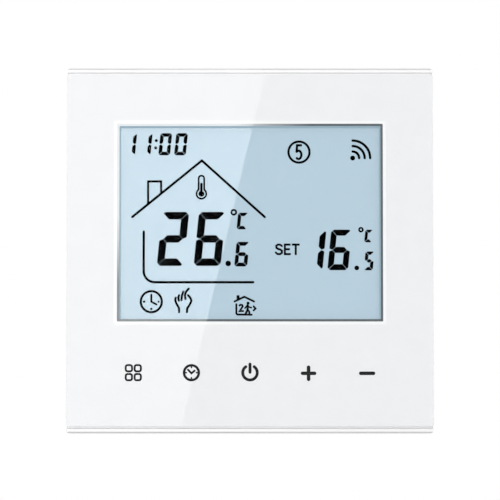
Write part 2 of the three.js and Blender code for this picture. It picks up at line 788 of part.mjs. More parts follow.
/** Electrolytic can about local Y, with the rolled groove near its open end. */
function filterCapacitorSolid() {
  const { radius, depth, edge, grooveY, grooveHalf } = filterCapacitor;
  const profile = [
    [0, 0], [radius - edge, 0], [radius, edge], [radius, grooveY - grooveHalf], [radius - edge, grooveY],
    [radius, grooveY + grooveHalf], [radius, depth - edge], [radius - edge, depth], [0, depth],
  ];
  return new THREE.LatheGeometry(profile.map(([r, y]) => new THREE.Vector2(r, y)), 16);
}

/** Disc on edge with its axis along Z. */
function varistorSolid() {
  const { x, z, radius, thickness, standOff } = varistor;
  const disc = new THREE.CylinderGeometry(radius, radius, thickness, 24);
  disc.rotateX(Math.PI / 2);
  disc.translate(x, powerBoardBack + standOff + radius, z);
  return disc;
}

function fuseResistorSolid() {
  const { x, z, radius, length, standOff } = fuseResistor;
  const body = new THREE.CylinderGeometry(radius, radius, length, 16);
  body.rotateZ(Math.PI / 2);
  body.translate(x, powerBoardBack + standOff + radius, z);
  return body;
}

function rectifierSolid() {
  const { x, z, width, height, depth } = rectifier;
  return slab(rectangle(width, height, x, z), powerBoardBack, powerBoardBack + depth);
}

// ---------- terminals, drawn about the pole's axis with the wire entry towards +Z ----------
const cageFloorZ = -blockHeight / 2 + cageFloorGap; // cage end inside the block, from the block's middle
const chamberFront = blockFront + cageWall;
const cageFront = chamberFront + clearance;
const cageBack = cageFront + cageHeight;
const chamberBack = cageBack + cageTravel + clearance;
const screwSeat = chamberBack + screwWeb;
const screwTip = cageFront + cageTravel + cageWall + looseFit;

function terminalBlock(poles) {
  const half = blockHalfWidth(poles);
  const body = block(-half, half, blockFront, blockBack, -blockHeight / 2, blockHeight / 2);
  const screwZ = cageFloorZ + cageLength / 2;
  const tools = poleXs(poles).flatMap((x) => [
    block(x - cageWidth / 2 - clearance, x + cageWidth / 2 + clearance, chamberFront, chamberBack,
      cageFloorZ - clearance, blockHeight),
    barrel(x, screwZ, screwThreadRadius + clearance, chamberBack - overrun, screwSeat + overrun, 8),
    barrel(x, screwZ, screwHeadRadius + clearance, screwSeat, blockBack + overrun),
  ]);
  return cut(body, tools);
}

function wireClamp() {
  const half = cageWidth / 2;
  const tube = block(-half, half, cageFront, cageBack, -cageLength / 2, cageLength / 2);
  const inside = half - cageWall;
  return cut(tube, [
    block(-inside, inside, cageFront + cageWall, cageBack - cageWall, -cageLength, cageLength),
    barrel(0, 0, screwThreadRadius + clearance, cageBack - cageWall - embed, cageBack + overrun, 8),
  ]);
}

function terminalScrew() {
  const headFront = screwSeat + clearance;
  const headBack = headFront + screwHeadHeight;
  const body = join([
    barrel(0, 0, screwThreadRadius, screwTip, headFront + embed, 8),
    barrel(0, 0, screwHeadRadius, headFront, headBack),
  ]);
  const half = screwSlotWidth / 2;
  const reach = 2 * screwHeadRadius;
  return cut(body, [block(-reach, reach, headBack - screwSlotDepth, headBack + overrun, -half, half)]);
}

// ---------- assembly ----------
const thermostat = new THREE.Group();
const rearUnit = new THREE.Group();
const frontUnit = new THREE.Group();
thermostat.add(rearUnit, frontUnit);

function place(group, name, geometry, material, x = 0, y = 0, z = 0) {
  const mesh = new THREE.Mesh(geometry, material());
  mesh.name = name;
  mesh.position.set(x, y, z);
  group.add(mesh);
  return mesh;
}

// rear unit, fixed to the wall box
place(rearUnit, 'mounting_plate', mountingPlate(), finishes.steel);
place(rearUnit, 'rear_housing', rearHousing(), finishes.backPlastic);
place(rearUnit, 'housing_lid', housingLid(), finishes.backPlastic);
place(rearUnit, 'power_board', powerBoard(), finishes.board);
place(rearUnit, 'header_socket', headerSocket(), finishes.connector);
for (const [side, name] of [[-1, 'left'], [1, 'right']]) {
  place(rearUnit, `box_screw_${name}`,
    panScrew(boxScrewRadius, boxScrewHeadRadius, boxScrewHeadHeight, boxScrewLength, 16),
    finishes.screwSteel, side * screwHoleX, plateFront - clearance / 2, 0);
}
powerPosts.forEach(([x, z], i) => place(rearUnit, `lid_screw_${i + 1}`,
  panScrew(lidScrewRadius, lidScrewHeadRadius, lidScrewHeadHeight,
    powerBoardBack + lidScrewBite - lidFront - lidScrewHeadHeight),
  finishes.screwSteel, x, lidFront + lidScrewHeadHeight, z));
place(rearUnit, 'relay_case', relayCase(), finishes.relayCase);
place(rearUnit, 'relay_base', relayBase(), finishes.connector);
place(rearUnit, 'relay_yoke', relayYoke(), finishes.steel);
place(rearUnit, 'relay_coil', relayCoil(), finishes.copper, coilX, coilFront, relay.z);
place(rearUnit, 'relay_armature', relayArmature(), finishes.brass);
place(rearUnit, 'transformer_core', transformerCore(), finishes.ferrite);
place(rearUnit, 'transformer_winding', transformerWinding(), finishes.winding);
place(rearUnit, 'x_capacitor', xCapacitorSolid(), finishes.filmCase);
place(rearUnit, 'filter_capacitor', filterCapacitorSolid(), finishes.canSleeve,
  filterCapacitor.x, powerBoardBack, filterCapacitor.z);
place(rearUnit, 'varistor', varistorSolid(), finishes.varistorBlue);
place(rearUnit, 'fuse_resistor', fuseResistorSolid(), finishes.resistorGrey);
place(rearUnit, 'rectifier', rectifierSolid(), finishes.chip);

// terminals: the lower block is turned half a turn about Y, so its wires enter from below
let pole = 0;
for (const [side, poles, name] of [[1, mainsPoles, 'mains'], [-1, sensorPoles, 'sensor']]) {
  const group = new THREE.Group();
  group.position.set(0, 0, side * (bayFloorZ + looseFit + blockHeight / 2));
  group.rotation.y = side > 0 ? 0 : Math.PI;
  rearUnit.add(group);
  place(group, `${name}_terminal_block`, terminalBlock(poles), finishes.terminal);
  for (const x of poleXs(poles)) {
    pole += 1;
    const z = cageFloorZ + cageLength / 2;
    place(group, `wire_clamp_${pole}`, wireClamp(), finishes.brass, x, 0, z);
    place(group, `terminal_screw_${pole}`, terminalScrew(), finishes.screwSteel, x, 0, z);
  }
}

// front unit, which pulls off towards the room
place(frontUnit, 'front_panel', frontPanel(), finishes.panel);
place(frontUnit, 'panel_tape', panelTape(), finishes.tape);
place(frontUnit, 'front_housing', frontHousing(), finishes.whitePlastic);
place(frontUnit, 'display_glass', displayGlass(), finishes.displayGlass);
place(frontUnit, 'backlight_frame', backlightFrame(), finishes.whitePlastic);
place(frontUnit, 'light_guide', lightGuide(), finishes.lightGuide);
place(frontUnit, 'led_strip', ledStrip(), finishes.ledStrip);
place(frontUnit, 'zebra_strip', zebraStrip(), finishes.elastomer);
place(frontUnit, 'display_board', displayBoard(), finishes.board);
place(frontUnit, 'wifi_module', wifiModuleSolid(), finishes.shield);
place(frontUnit, 'controller_chip',
  slab(rectangle(controllerChip.side, controllerChip.side, controllerChip.x, controllerChip.z),
    displayBoardBack, displayBoardBack + controllerChip.thickness), finishes.chip);
place(frontUnit, 'thermistor', thermistorSolid(), finishes.chip);
place(frontUnit, 'header_pins', headerPinsSolid(), finishes.connector);
keyXs.forEach((x, i) => place(frontUnit, `touch_spring_${keyNames[i]}`, touchSpring(), finishes.spring,
  x, (panelBack + displayBoardFront) / 2, keyZ));
boardPosts.forEach(([x, z], i) => {
  const screw = panScrew(boardScrewRadius, boardScrewHeadRadius, boardScrewHeadHeight,
    boardThickness + boardScrewBite);
  const mesh = place(frontUnit, `board_screw_${i + 1}`, screw, finishes.screwSteel,
    x, displayBoardBack + clearance / 2, z);
  mesh.rotation.x = Math.PI; // driven from behind
});

export default thermostat;
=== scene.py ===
import math

import bmesh
import bpy
import numpy as np
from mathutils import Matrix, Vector


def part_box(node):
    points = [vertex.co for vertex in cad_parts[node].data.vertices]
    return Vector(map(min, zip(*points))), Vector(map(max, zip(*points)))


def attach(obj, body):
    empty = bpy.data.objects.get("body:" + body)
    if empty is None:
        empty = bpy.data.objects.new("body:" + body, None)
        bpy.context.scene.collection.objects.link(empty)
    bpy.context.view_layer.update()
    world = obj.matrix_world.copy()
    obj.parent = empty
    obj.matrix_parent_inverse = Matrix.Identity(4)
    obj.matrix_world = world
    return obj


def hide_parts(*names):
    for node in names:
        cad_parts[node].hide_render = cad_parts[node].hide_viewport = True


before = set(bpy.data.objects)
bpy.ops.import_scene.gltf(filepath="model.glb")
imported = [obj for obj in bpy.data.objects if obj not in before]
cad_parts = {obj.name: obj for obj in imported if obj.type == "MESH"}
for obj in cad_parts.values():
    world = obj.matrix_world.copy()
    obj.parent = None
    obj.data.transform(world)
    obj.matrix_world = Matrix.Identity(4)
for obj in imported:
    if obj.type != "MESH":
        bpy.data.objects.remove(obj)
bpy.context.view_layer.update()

# Flush wall thermostat. Shapes are worked out in millimetres: X right, Y into the wall, Z up.
MM = 0.001
TURN = 2 * math.pi


def node_box(node):
    """Lowest and highest corner of a frame node, in millimetres."""
    low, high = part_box(node)
    return np.array(low) / MM, np.array(high) / MM


# ---------------------------------------------------------------- meshes
def add_piece(name, shapes, finishes, body, replaces=(), bevel=0.0, steps=2, smooth=40):
    """Joins shapes into one mesh. A shape is (corners, faces), and may add the number of its
    finish, or one number for each face. Faces are turned outwards, edges sharper than the
    smooth angle stay crisp, and a bevel rounds them where a width is given."""
    corners, faces, numbers, start = [], [], [], 0
    for points, polygons, *number in shapes:
        corners.append(points)
        faces.extend([[start + i for i in polygon] for polygon in polygons])
        numbers.append(np.broadcast_to(number[0] if number else 0, len(polygons)))
        start += len(points)
    mesh = bpy.data.meshes.new(name)
    mesh.from_pydata(np.vstack(corners) * MM, [], faces)
    mesh.polygons.foreach_set("material_index", np.concatenate(numbers).astype(np.int32))
    shell = bmesh.new()
    shell.from_mesh(mesh)
    bmesh.ops.recalc_face_normals(shell, faces=shell.faces)
    shell.to_mesh(mesh)
    shell.free()
    dress(mesh, finishes, body, replaces, bevel, steps, smooth)


def dress(mesh, finishes, body, replaces, bevel, steps, smooth):
    """Makes the piece from its mesh, gives it its finishes, and lets it ride on its body."""
    for finish in finishes:
        mesh.materials.append(finish)
    mesh.shade_smooth()
    mesh.set_sharp_from_angle(angle=math.radians(smooth))
    piece = bpy.data.objects.new(mesh.name, mesh)
    bpy.context.scene.collection.objects.link(piece)
    if bevel:
        edge = piece.modifiers.new("rounded edges", "BEVEL")
        edge.width = bevel * MM
        edge.segments = steps
        edge.limit_method = "ANGLE"
        edge.angle_limit = math.radians(smooth)
        edge.use_clamp_overlap = False
        edge.harden_normals = True
    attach(piece, body)
    if replaces:
        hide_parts(*replaces)


def edged(node, finish, body, bevel):
    """Copy of a frame node with its triangles joined into whole faces and its edges rounded."""
    mesh = bpy.data.meshes.new(node + "_moulded")
    shell = bmesh.new()
    shell.from_mesh(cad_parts[node].data)
    bmesh.ops.remove_doubles(shell, verts=shell.verts, dist=1e-6)
    bmesh.ops.dissolve_limit(shell, angle_limit=math.radians(1), verts=shell.verts, edges=shell.edges)
    shell.to_mesh(mesh)
    shell.free()
    for layer in ("custom_normal", "UVMap"):
        if layer in mesh.attributes:
            mesh.attributes.remove(mesh.attributes[layer])
    mesh.materials.clear()
    mesh.polygons.foreach_set("material_index", np.zeros(len(mesh.polygons), np.int32))
    dress(mesh, [finish], body, [node], bevel, steps=2, smooth=35)


def closed_rows(rows, columns):
    """Quads between neighbouring rings of a grid, and a flat face on the first and last ring."""
    row, column = np.meshgrid(np.arange(rows - 1), np.arange(columns), indexing="ij")
    after = (column + 1) % columns
    quads = np.stack([row * columns + column, row * columns + after,
                      (row + 1) * columns + after, (row + 1) * columns + column], -1)
    first = np.arange(columns)[::-1]
    last = np.arange(columns) + (rows - 1) * columns
    return quads.reshape(-1, 4).tolist() + [first.tolist(), last.tolist()]


def ring_rows(rows, columns):
    """Quads of a grid that closes on itself both ways, as a torus does."""
    row, column = np.meshgrid(np.arange(rows), np.arange(columns), indexing="ij")
    below, after = (row + 1) % rows, (column + 1) % columns
    quads = np.stack([row * columns + column, row * columns + after,
                      below * columns + after, below * columns + column], -1)
    return quads.reshape(-1, 4).tolist()


def at_depth(outline, y):
    """An X-Z outline as points at one depth."""
    outline = np.asarray(outline, float)
    return np.stack([outline[:, 0], np.full(len(outline), float(y)), outline[:, 1]], 1)


def prism(outline, front, back):
    """An X-Z outline carried straight from one depth to another."""
    points = np.vstack([at_depth(outline, front), at_depth(outline, back)])
    return points, closed_rows(2, len(outline))


def collar(outer, inner, front, back):
    """The space between two outlines with equally many corners, from front to back."""
    points = np.vstack([at_depth(outer, front), at_depth(inner, front),
                        at_depth(inner, back), at_depth(outer, back)])
    return points, ring_rows(4, len(outer))


def box(x0, x1, y0, y1, z0, z1):
    """Block between two corners; its piece rounds the edges."""
    return prism([(x0, z0), (x1, z0), (x1, z1), (x0, z1)], y0, y1)


def arc(x, z, radius, start, end, steps=24):
    """Points on a circle between two angles in degrees, anticlockwise from +X."""
    angle = np.radians(np.linspace(start, end, steps))
    return np.stack([x + radius * np.cos(angle), z + radius * np.sin(angle)], 1)


def disc(x, z, radius, steps=28):
    """Points all round a circle."""
    return arc(x, z, radius, 0, 360, steps + 1)[:-1]


def rounded(width, height, radius, x=0.0, z=0.0, steps=6):
    """Rectangle whose corners are quarter circles."""
    angle = np.linspace(0, TURN / 4, steps)[None, :] + np.arange(4)[:, None] * TURN / 4
    across = np.array([1, -1, -1, 1])[:, None] * (width / 2 - radius) + radius * np.cos(angle)
    up = np.array([1, 1, -1, -1])[:, None] * (height / 2 - radius) + radius * np.sin(angle)
    return np.stack([x + across, z + up], -1).reshape(-1, 2)


def turned(profile, centre, axis="y", steps=48):
    """Profile of (radius, distance along the axis) turned about that axis, closed at both ends."""
    radius, along = np.array(profile, float).T
    angle = np.linspace(0, TURN, steps, endpoint=False)
    u = radius[:, None] * np.cos(angle)
    v = radius[:, None] * np.sin(angle)
    t = np.repeat(along[:, None], steps, 1)
    grid = {"x": (t, u, v), "y": (u, t, v), "z": (u, v, t)}[axis]
    return np.stack(grid, -1).reshape(-1, 3) + np.array(centre, float), closed_rows(len(radius), steps)


def tube(path, radius, side=(0, 1, 0)):
    """Circle carried along a path: each ring is square to the path's local direction."""
    steps = 12
    path = np.asarray(path, float)
    ahead = np.gradient(path, axis=0)
    ahead /= np.linalg.norm(ahead, axis=1, keepdims=True)
    across = np.cross(ahead, np.array(side, float))
    across /= np.linalg.norm(across, axis=1, keepdims=True)
    over = np.cross(ahead, across)
    angle = np.linspace(0, TURN, steps, endpoint=False)[None, :, None]
    ring = np.broadcast_to(np.asarray(radius, float), (len(path),))[:, None, None]
    points = path[:, None] + ring * (np.cos(angle) * across[:, None] + np.sin(angle) * over[:, None])
    return points.reshape(-1, 3), closed_rows(len(path), steps)


def normals_along(path, closed):
    """Sideways direction at each corner, lengthened so both neighbouring edges keep their distance."""
    step = np.roll(path, -1, 0) - path if closed else np.diff(path, axis=0)
    step /= np.linalg.norm(step, axis=1, keepdims=True)
    before = np.roll(step, 1, 0) if closed else np.vstack([step[:1], step])
    after = step if closed else np.vstack([step, step[-1:]])
    middle = (before + after) / np.linalg.norm(before + after, axis=1, keepdims=True)
    return np.stack([-middle[:, 1], middle[:, 0]], 1) / (middle * after).sum(1, keepdims=True)


def ribbon(path, width, front, back, closed=False, round_ends=True):
    """Flat stroke of even width along an X-Z path, with mitred corners and round or square ends."""
    path = np.asarray(path, float)
    reach = normals_along(path, closed) * width / 2
    if closed:
        return collar(path + reach, path - reach, front, back)
    left, right = path + reach, path - reach
    if round_ends:
        sweep = np.linspace(0, math.pi, 9)[1:-1, None]
        end_along = np.array([-reach[-1][1], reach[-1][0]])
        start_along = np.array([-reach[0][1], reach[0][0]])
        far = path[-1] + np.cos(sweep) * reach[-1] - np.sin(sweep) * end_along
        near = path[0] - np.cos(sweep) * reach[0] + np.sin(sweep) * start_along
        outline = np.vstack([left, far, right[::-1], near])
    else:
        outline = np.vstack([left, right[::-1]])
    return prism(outline, front, back)


# ---------------------------------------------------------------- finishes
class Surface:
    """A material's node graph, built up by a few short calls."""

    def __init__(self, name):
        self.material = bpy.data.materials.new(name)
        self.material.use_nodes = True
        self.tree = self.material.node_tree
        self.shader = self.tree.nodes["Principled BSDF"]
        self.output = self.tree.nodes["Material Output"]

    def node(self, kind, inputs=(), **settings):
        """Adds a node; inputs maps socket names or numbers to values or to other sockets."""
        made = self.tree.nodes.new("ShaderNode" + kind)
        for key, value in settings.items():
            setattr(made, key, value)
        for key, value in dict(inputs).items():
            self.feed(made.inputs[key], value)
        return made

    def feed(self, socket, value):
        """Sets a socket to a value, or links another socket to it."""
        if isinstance(value, bpy.types.NodeSocket):
            self.tree.links.new(value, socket)
        else:
            socket.default_value = value

    def place(self, stretch=(1, 1, 1), turn=(0, 0, 0), centre=(0, 0, 0)):
        """The piece's own coordinates in metres, stretched or turned for a pattern."""
        where = self.node("TexCoord").outputs["Object"]
        return self.node("Mapping", {"Vector": where, "Scale": stretch, "Rotation": turn,
                                     "Location": centre}).outputs["Vector"]

    def noise(self, scale, detail=2.0, stretch=(1, 1, 1)):
        """Cloudy noise from 0 to 1; the scale counts its waves in a metre."""
        return self.node("TexNoise", {"Vector": self.place(stretch), "Scale": scale,
                                      "Detail": detail}).outputs["Fac"]

    def cloud(self, scale, detail=2.0):
        """Noise whose middle part is let out to run from 0 to 1."""
        return self.spread(self.noise(scale, detail), 0, 1, 0.35, 0.65)

    def spread(self, value, low, high, start=0.0, end=1.0):
        """Maps a value from start..end to low..high."""
        return self.node("MapRange", {"Value": value, "From Min": start, "From Max": end,
                                      "To Min": low, "To Max": high}).outputs["Result"]

    def sums(self, operation, *values):
        """One step of arithmetic on numbers or sockets."""
        return self.node("Math", dict(enumerate(values)), operation=operation).outputs[0]

    def blend(self, amount, first, second):
        """Colour between two colours."""
        mixer = self.node("Mix", {0: amount}, data_type="RGBA")
        for socket, value in zip(mixer.inputs[6:8], (first, second)):
            self.feed(socket, value if isinstance(value, bpy.types.NodeSocket) else (*value, 1))
        return mixer.outputs[2]

    def relief(self, height, strength, depth):
        """Bump whose height is given in metres."""
        bump = self.node("Bump", {"Height": height, "Strength": strength, "Distance": depth})
        self.feed(self.shader.inputs["Normal"], bump.outputs["Normal"])

    def set(self, **values):
        """Sets the shader's own sockets by name, with _ for a space."""
        for key, value in values.items():
            self.feed(self.shader.inputs[key.replace("_", " ")], value)


def moulded(name, colour, deep, roughness, grain=3500, relief=0.25, gloss=0.5, clouds=60):
    """Moulded plastic: faint cloudy colour, a fine spark-eroded grain and uneven gloss."""
    s = Surface(name)
    s.set(Base_Color=s.blend(s.cloud(clouds, 4), colour, deep),
          Roughness=s.spread(s.noise(grain / 4), roughness * 0.85, min(roughness * 1.2, 1)),
          Specular_IOR_Level=gloss)
    s.relief(s.noise(grain, 3), relief, 0.00004)
    return s.material


def metal(name, colour, deep, roughness, stretch=(1, 1, 1), scale=900, relief=0.15, cloud=120):
    """Metal with drawn or rolled marks, a cloudy tint and rubbed, uneven gloss."""
    s = Surface(name)
    marks = s.noise(scale, 3, stretch)
    tint = s.spread(s.noise(cloud, 4), 0, 1, 0.3, 0.7)
    s.set(Base_Color=s.blend(tint, colour, deep), Metallic=1.0,
          Roughness=s.spread(marks, roughness * 0.7, roughness * 1.35, 0.3, 0.7))
    s.relief(marks, relief, 0.00003)
    return s.material


def acrylic_face():
    """Clear polished acrylic or glass: see-through, with a mirror's share that grows at a glance."""
    s = Surface("clear_acrylic")
    glance = s.node("LayerWeight", {"Blend": 0.5}).outputs["Facing"]
    share = s.spread(s.sums("POWER", glance, 5.0), 0.0004, 1.0)
    smooth = s.spread(s.noise(40), 0.0, 0.012, 0.3, 0.7)
    clear = s.node("BsdfTransparent", {"Color": (0.985, 0.99, 0.99, 1)}).outputs[0]
    shine = s.node("BsdfAnisotropic", {"Color": (1, 1, 1, 1), "Roughness": smooth}).outputs[0]
    mixed = s.node("MixShader", {0: share, 1: clear, 2: shine}).outputs[0]
    s.feed(s.output.inputs["Surface"], mixed)
    s.tree.nodes.remove(s.shader)
    return s.material


def printed(name, colour, deep, roughness=0.45, gloss=0.0):
    """Ink on the back of the panel: even, with a slight screen-print mottle."""
    s = Surface(name)
    s.set(Base_Color=s.blend(s.cloud(220, 3), colour, deep),
          Roughness=s.spread(s.noise(900), roughness * 0.9, roughness * 1.1),
          Specular_IOR_Level=gloss)
    return s.material


def rim_painted_shadow_and_glare():
    """Glossy rim round the window: dark ink for the display mask's edge with the window edge's shadow painted
    in, paling to grey at the upper left as a painted reflection of the glare.
    """
    s = Surface("window_rim_painted_shadow_and_glare")
    axes = s.node("SeparateXYZ", {0: s.place()})
    across = s.sums("MULTIPLY", axes.outputs[0], -0.639)
    up = s.sums("MULTIPLY", axes.outputs[2], 0.770)
    # painted reflection: the rim pales to grey towards the upper left, along the glare's diagonal
    pale = s.spread(s.sums("ADD", across, up), 0, 1, 0.0138, 0.0258)
    mottle = s.noise(500)
    s.set(Base_Color=s.blend(pale, (0.055, 0.07, 0.08), (0.50, 0.53, 0.55)),
          Roughness=s.spread(mottle, 0.008, 0.016), Specular_IOR_Level=0.9)
    return s.material


def backlit(low, high):
    """Pale blue backlit ground: even light, painted darker towards its edges as the shadow of the
    window's edge, and a faint grain of the diffuser foil."""
    s = Surface("display_backlight_painted_edge_shadow")
    middle, half = (low + high) / 2 * MM, (high - low) / 2 * MM
    axes = s.node("SeparateXYZ", {0: s.place(centre=tuple(-middle))})
    gap = [s.sums("SUBTRACT", float(half[i]), s.sums("ABSOLUTE", axes.outputs[i])) for i in (0, 2)]
    inside = s.sums("MINIMUM", *gap)
    # painted shadow: the glow dims within about 1.4 mm of the edges
    even = s.spread(inside, 0.0, 1.0, 0.0002, 0.0014)
    mottle = s.spread(s.noise(140, 3), -0.03, 0.03)
    level = s.sums("ADD", even, mottle)
    colour = s.blend(level, (0.288, 0.391, 0.466), (0.312, 0.417, 0.504))
    s.set(Base_Color=(0.10, 0.14, 0.16, 1), Roughness=s.spread(mottle, 0.003, 0.008, -0.03, 0.03),
          IOR=2.1, Emission_Color=colour, Emission_Strength=1.0)
    return s.material


def segment_ink():
    """Switched-on liquid crystal: nearly black, thinning a little to blue."""
    s = Surface("display_segments_on")
    s.set(Base_Color=s.blend(s.cloud(600), (0.0012, 0.0014, 0.0018), (0.0024, 0.0026, 0.003)),
          Roughness=s.spread(s.noise(300), 0.4, 0.55), Specular_IOR_Level=0.0)
    return s.material


def solder_mask(name, colour, copper_under):
    """Circuit board: green lacquer over copper tracks that run square to each other in
    patches, with tinned round pads."""
    s, tin = Surface(name), (0.72, 0.71, 0.66)
    flat = s.place(turn=(-math.pi / 2, 0, 0))
    crossing = s.place(turn=(-math.pi / 2, 0, math.pi / 2))
    nets = []
    for where, wide, row in ((flat, 0.006, 0.0011), (crossing, 0.009, 0.0013)):
        nets.append(s.node("TexBrick", {
            "Vector": where, "Color1": (0, 0, 0, 1), "Color2": (0, 0, 0, 1), "Mortar": (1, 1, 1, 1),
            "Scale": 1.0, "Mortar Size": 0.00018, "Mortar Smooth": 0.2, "Brick Width": wide,
            "Row Height": row}).outputs["Color"])
    patch = s.spread(s.node("TexVoronoi", {"Vector": flat, "Scale": 95.0}).outputs["Color"],
                     0, 1, 0.48, 0.52)
    net = s.blend(patch, nets[0], nets[1])
    hole = s.node("TexVoronoi", {"Vector": flat, "Scale": 260.0, "Randomness": 0.75})
    pad = s.spread(hole.outputs["Distance"], 1, 0, 0.085, 0.1)
    tint = s.blend(s.cloud(70), colour, tuple(c * 0.85 for c in colour))
    lacquer = s.blend(net, tint, copper_under)
    s.set(Base_Color=s.blend(pad, lacquer, tin), Metallic=s.sums("MULTIPLY", pad, 0.9),
          Roughness=s.spread(s.noise(500), 0.28, 0.42), Specular_IOR_Level=0.5)
    s.relief(s.sums("MAXIMUM", net, pad), 0.6, 0.00003)
    return s.material


def striped(name, light, dark, pitch, axis, roughness=0.6, depth=0.00005, share=0.5):
    """Fine bands across one axis: conductive and insulating layers, or wound wire, where the dark bands are
    painted shade between the turns.
    """
    s = Surface(name)
    where = s.node("SeparateXYZ", {0: s.place()}).outputs[axis]
    wave = s.sums("SINE", s.sums("MULTIPLY", where, TURN / pitch))
    band = s.spread(wave, 0, 1, 1 - 2 * share - 0.15, 1 - 2 * share + 0.15)
    wobble = s.noise(400)
    s.set(Base_Color=s.blend(s.sums("MULTIPLY", band, s.spread(wobble, 0.8, 1.0)), dark, light),
          Roughness=s.spread(wobble, roughness * 0.85, min(1, roughness * 1.15)))
    s.relief(wave, 0.7, depth)
    return s.material


def foam(name, colour, deep):
    """Closed-cell foam tape: small round cells with shaded walls."""
    s = Surface(name)
    cell = s.node("TexVoronoi", {"Vector": s.place(), "Scale": 5000.0}).outputs["Distance"]
    s.set(Base_Color=s.blend(s.spread(cell, 0, 1, 0.1, 0.7), colour, deep),
          Roughness=s.spread(cell, 0.75, 0.95), Specular_IOR_Level=0.2)
    s.relief(cell, 0.6, 0.00005)
    return s.material


def see_through_plastic(name, colour, roughness):
    """Light guide or lens: clear plastic printed with fine light-scattering dots."""
    s = Surface(name)
    dots = s.node("TexVoronoi", {"Vector": s.place(), "Scale": 1400.0, "Randomness": 0.0})
    dot = s.spread(dots.outputs["Distance"], 1, 0, 0.25, 0.32)
    s.set(Base_Color=s.blend(dot, colour, (0.95, 0.97, 0.98)),
          Roughness=s.spread(dot, roughness, 0.6), Alpha=s.spread(dot, 0.55, 0.95))
    s.set(IOR=1.49)
    return s.material


WHITE_SHELL = moulded("front_plastic_white", (0.75, 0.75, 0.757), (0.735, 0.735, 0.742), 0.3, 5200, 0.05)
BACK_SHELL = moulded("back_plastic_white", (0.72, 0.72, 0.70), (0.68, 0.68, 0.665), 0.5, 2600, 0.5)
TRAY = moulded("display_tray_white", (0.80, 0.81, 0.82), (0.76, 0.78, 0.79), 0.55, 3000, 0.4)
BLACK_NYLON = moulded("black_connector_nylon", (0.012, 0.012, 0.013), (0.02, 0.02, 0.022), 0.45, 3200, 0.4)
CHIP_EPOXY = moulded("black_chip_epoxy", (0.015, 0.015, 0.016), (0.024, 0.024, 0.025), 0.55, 4200, 0.5)
RELAY_BLUE = moulded("blue_relay_case", (0.02, 0.10, 0.42), (0.016, 0.085, 0.36), 0.25, 3000, 0.15)
TERMINAL_GREEN = moulded("green_terminal_nylon", (0.03, 0.26, 0.10), (0.025, 0.22, 0.085), 0.42, 2800, 0.35)
FILM_YELLOW = moulded("yellow_capacitor_case", (0.72, 0.50, 0.05), (0.66, 0.45, 0.045), 0.35, 2600, 0.3)
DISC_BLUE = moulded("blue_dipped_epoxy", (0.02, 0.13, 0.38), (0.017, 0.11, 0.33), 0.22, 700, 0.9)
RESISTOR_COAT = moulded("green_grey_cement_coat", (0.23, 0.34, 0.25), (0.19, 0.29, 0.21), 0.6, 1500, 0.8)
BAND_DARK = moulded("colour_band_brown", (0.10, 0.04, 0.02), (0.08, 0.03, 0.015), 0.5, 1500, 0.4)
BAND_GOLD = moulded("colour_band_gold", (0.48, 0.33, 0.08), (0.42, 0.28, 0.06), 0.4, 1500, 0.4)
SLEEVE = moulded("black_can_sleeve", (0.016, 0.017, 0.022), (0.02, 0.022, 0.028), 0.28, 1800, 0.15)
SLEEVE_BAND = moulded("grey_can_stripe", (0.48, 0.49, 0.5), (0.44, 0.45, 0.46), 0.35, 1800, 0.15)
FERRITE = moulded("dark_ferrite", (0.035, 0.034, 0.036), (0.05, 0.048, 0.05), 0.5, 1200, 0.9)
BEAD = moulded("black_sensor_bead", (0.014, 0.014, 0.015), (0.02, 0.02, 0.02), 0.3, 900, 0.5)
CERAMIC = moulded("tan_chip_ceramic", (0.40, 0.30, 0.20), (0.34, 0.25, 0.16), 0.5, 2600, 0.4)
PHOSPHOR = moulded("led_phosphor", (0.82, 0.70, 0.22), (0.78, 0.64, 0.16), 0.5, 2600, 0.4)
ZINC = metal("zinc_plated_sheet", (0.66, 0.67, 0.67), (0.56, 0.57, 0.58), 0.34, (1, 1, 6), 700, 0.25, 90)
SCREW_STEEL = metal("zinc_plated_screw", (0.62, 0.63, 0.65), (0.50, 0.51, 0.53), 0.3, (1, 4, 1), 1800)
SPRING_WIRE = metal("nickel_spring_wire", (0.60, 0.59, 0.57), (0.50, 0.49, 0.47), 0.26, (1, 1, 1), 2200)
SHIELD = metal("tinned_shield_can", (0.70, 0.71, 0.72), (0.60, 0.61, 0.62), 0.32, (1, 1, 5), 900, 0.25, 150)
BRASS = metal("nickel_brass_clamp", (0.72, 0.56, 0.27), (0.60, 0.45, 0.20), 0.28, (1, 5, 1), 1200)
GOLD = metal("gold_contact", (0.83, 0.62, 0.24), (0.75, 0.54, 0.19), 0.22, (1, 4, 1), 1500)
TIN = metal("bright_tin", (0.70, 0.70, 0.69), (0.60, 0.60, 0.60), 0.25, (1, 1, 1), 1500)
RELAY_STEEL = metal("relay_iron", (0.50, 0.50, 0.50), (0.42, 0.42, 0.42), 0.38, (1, 5, 1), 900)
# its dark bands are painted shade between the wire's turns
COPPER_WIRE = striped("enamelled_copper_turns_painted_shade", (0.62, 0.22, 0.07), (0.30, 0.09, 0.03), 0.00022, 1, 0.35)
WINDING_TAPE = striped("yellow_winding_tape", (0.74, 0.56, 0.06), (0.60, 0.44, 0.04),
                       0.0011, 2, 0.4, 0.00006, 0.8)
ZEBRA = striped("layered_elastomer", (0.50, 0.44, 0.47), (0.03, 0.03, 0.03), 0.0005, 0, 0.75)
BOARD_GREEN = solder_mask("green_display_board", (0.016, 0.13, 0.045), (0.035, 0.23, 0.075))
BOARD_POWER = solder_mask("green_power_board", (0.02, 0.16, 0.05), (0.05, 0.26, 0.07))
FOAM_TAPE = foam("black_foam_tape", (0.03, 0.03, 0.03), (0.012, 0.012, 0.012))
LIGHT_GUIDE = see_through_plastic("dotted_light_guide", (0.72, 0.82, 0.86), 0.12)
ACRYLIC = acrylic_face()
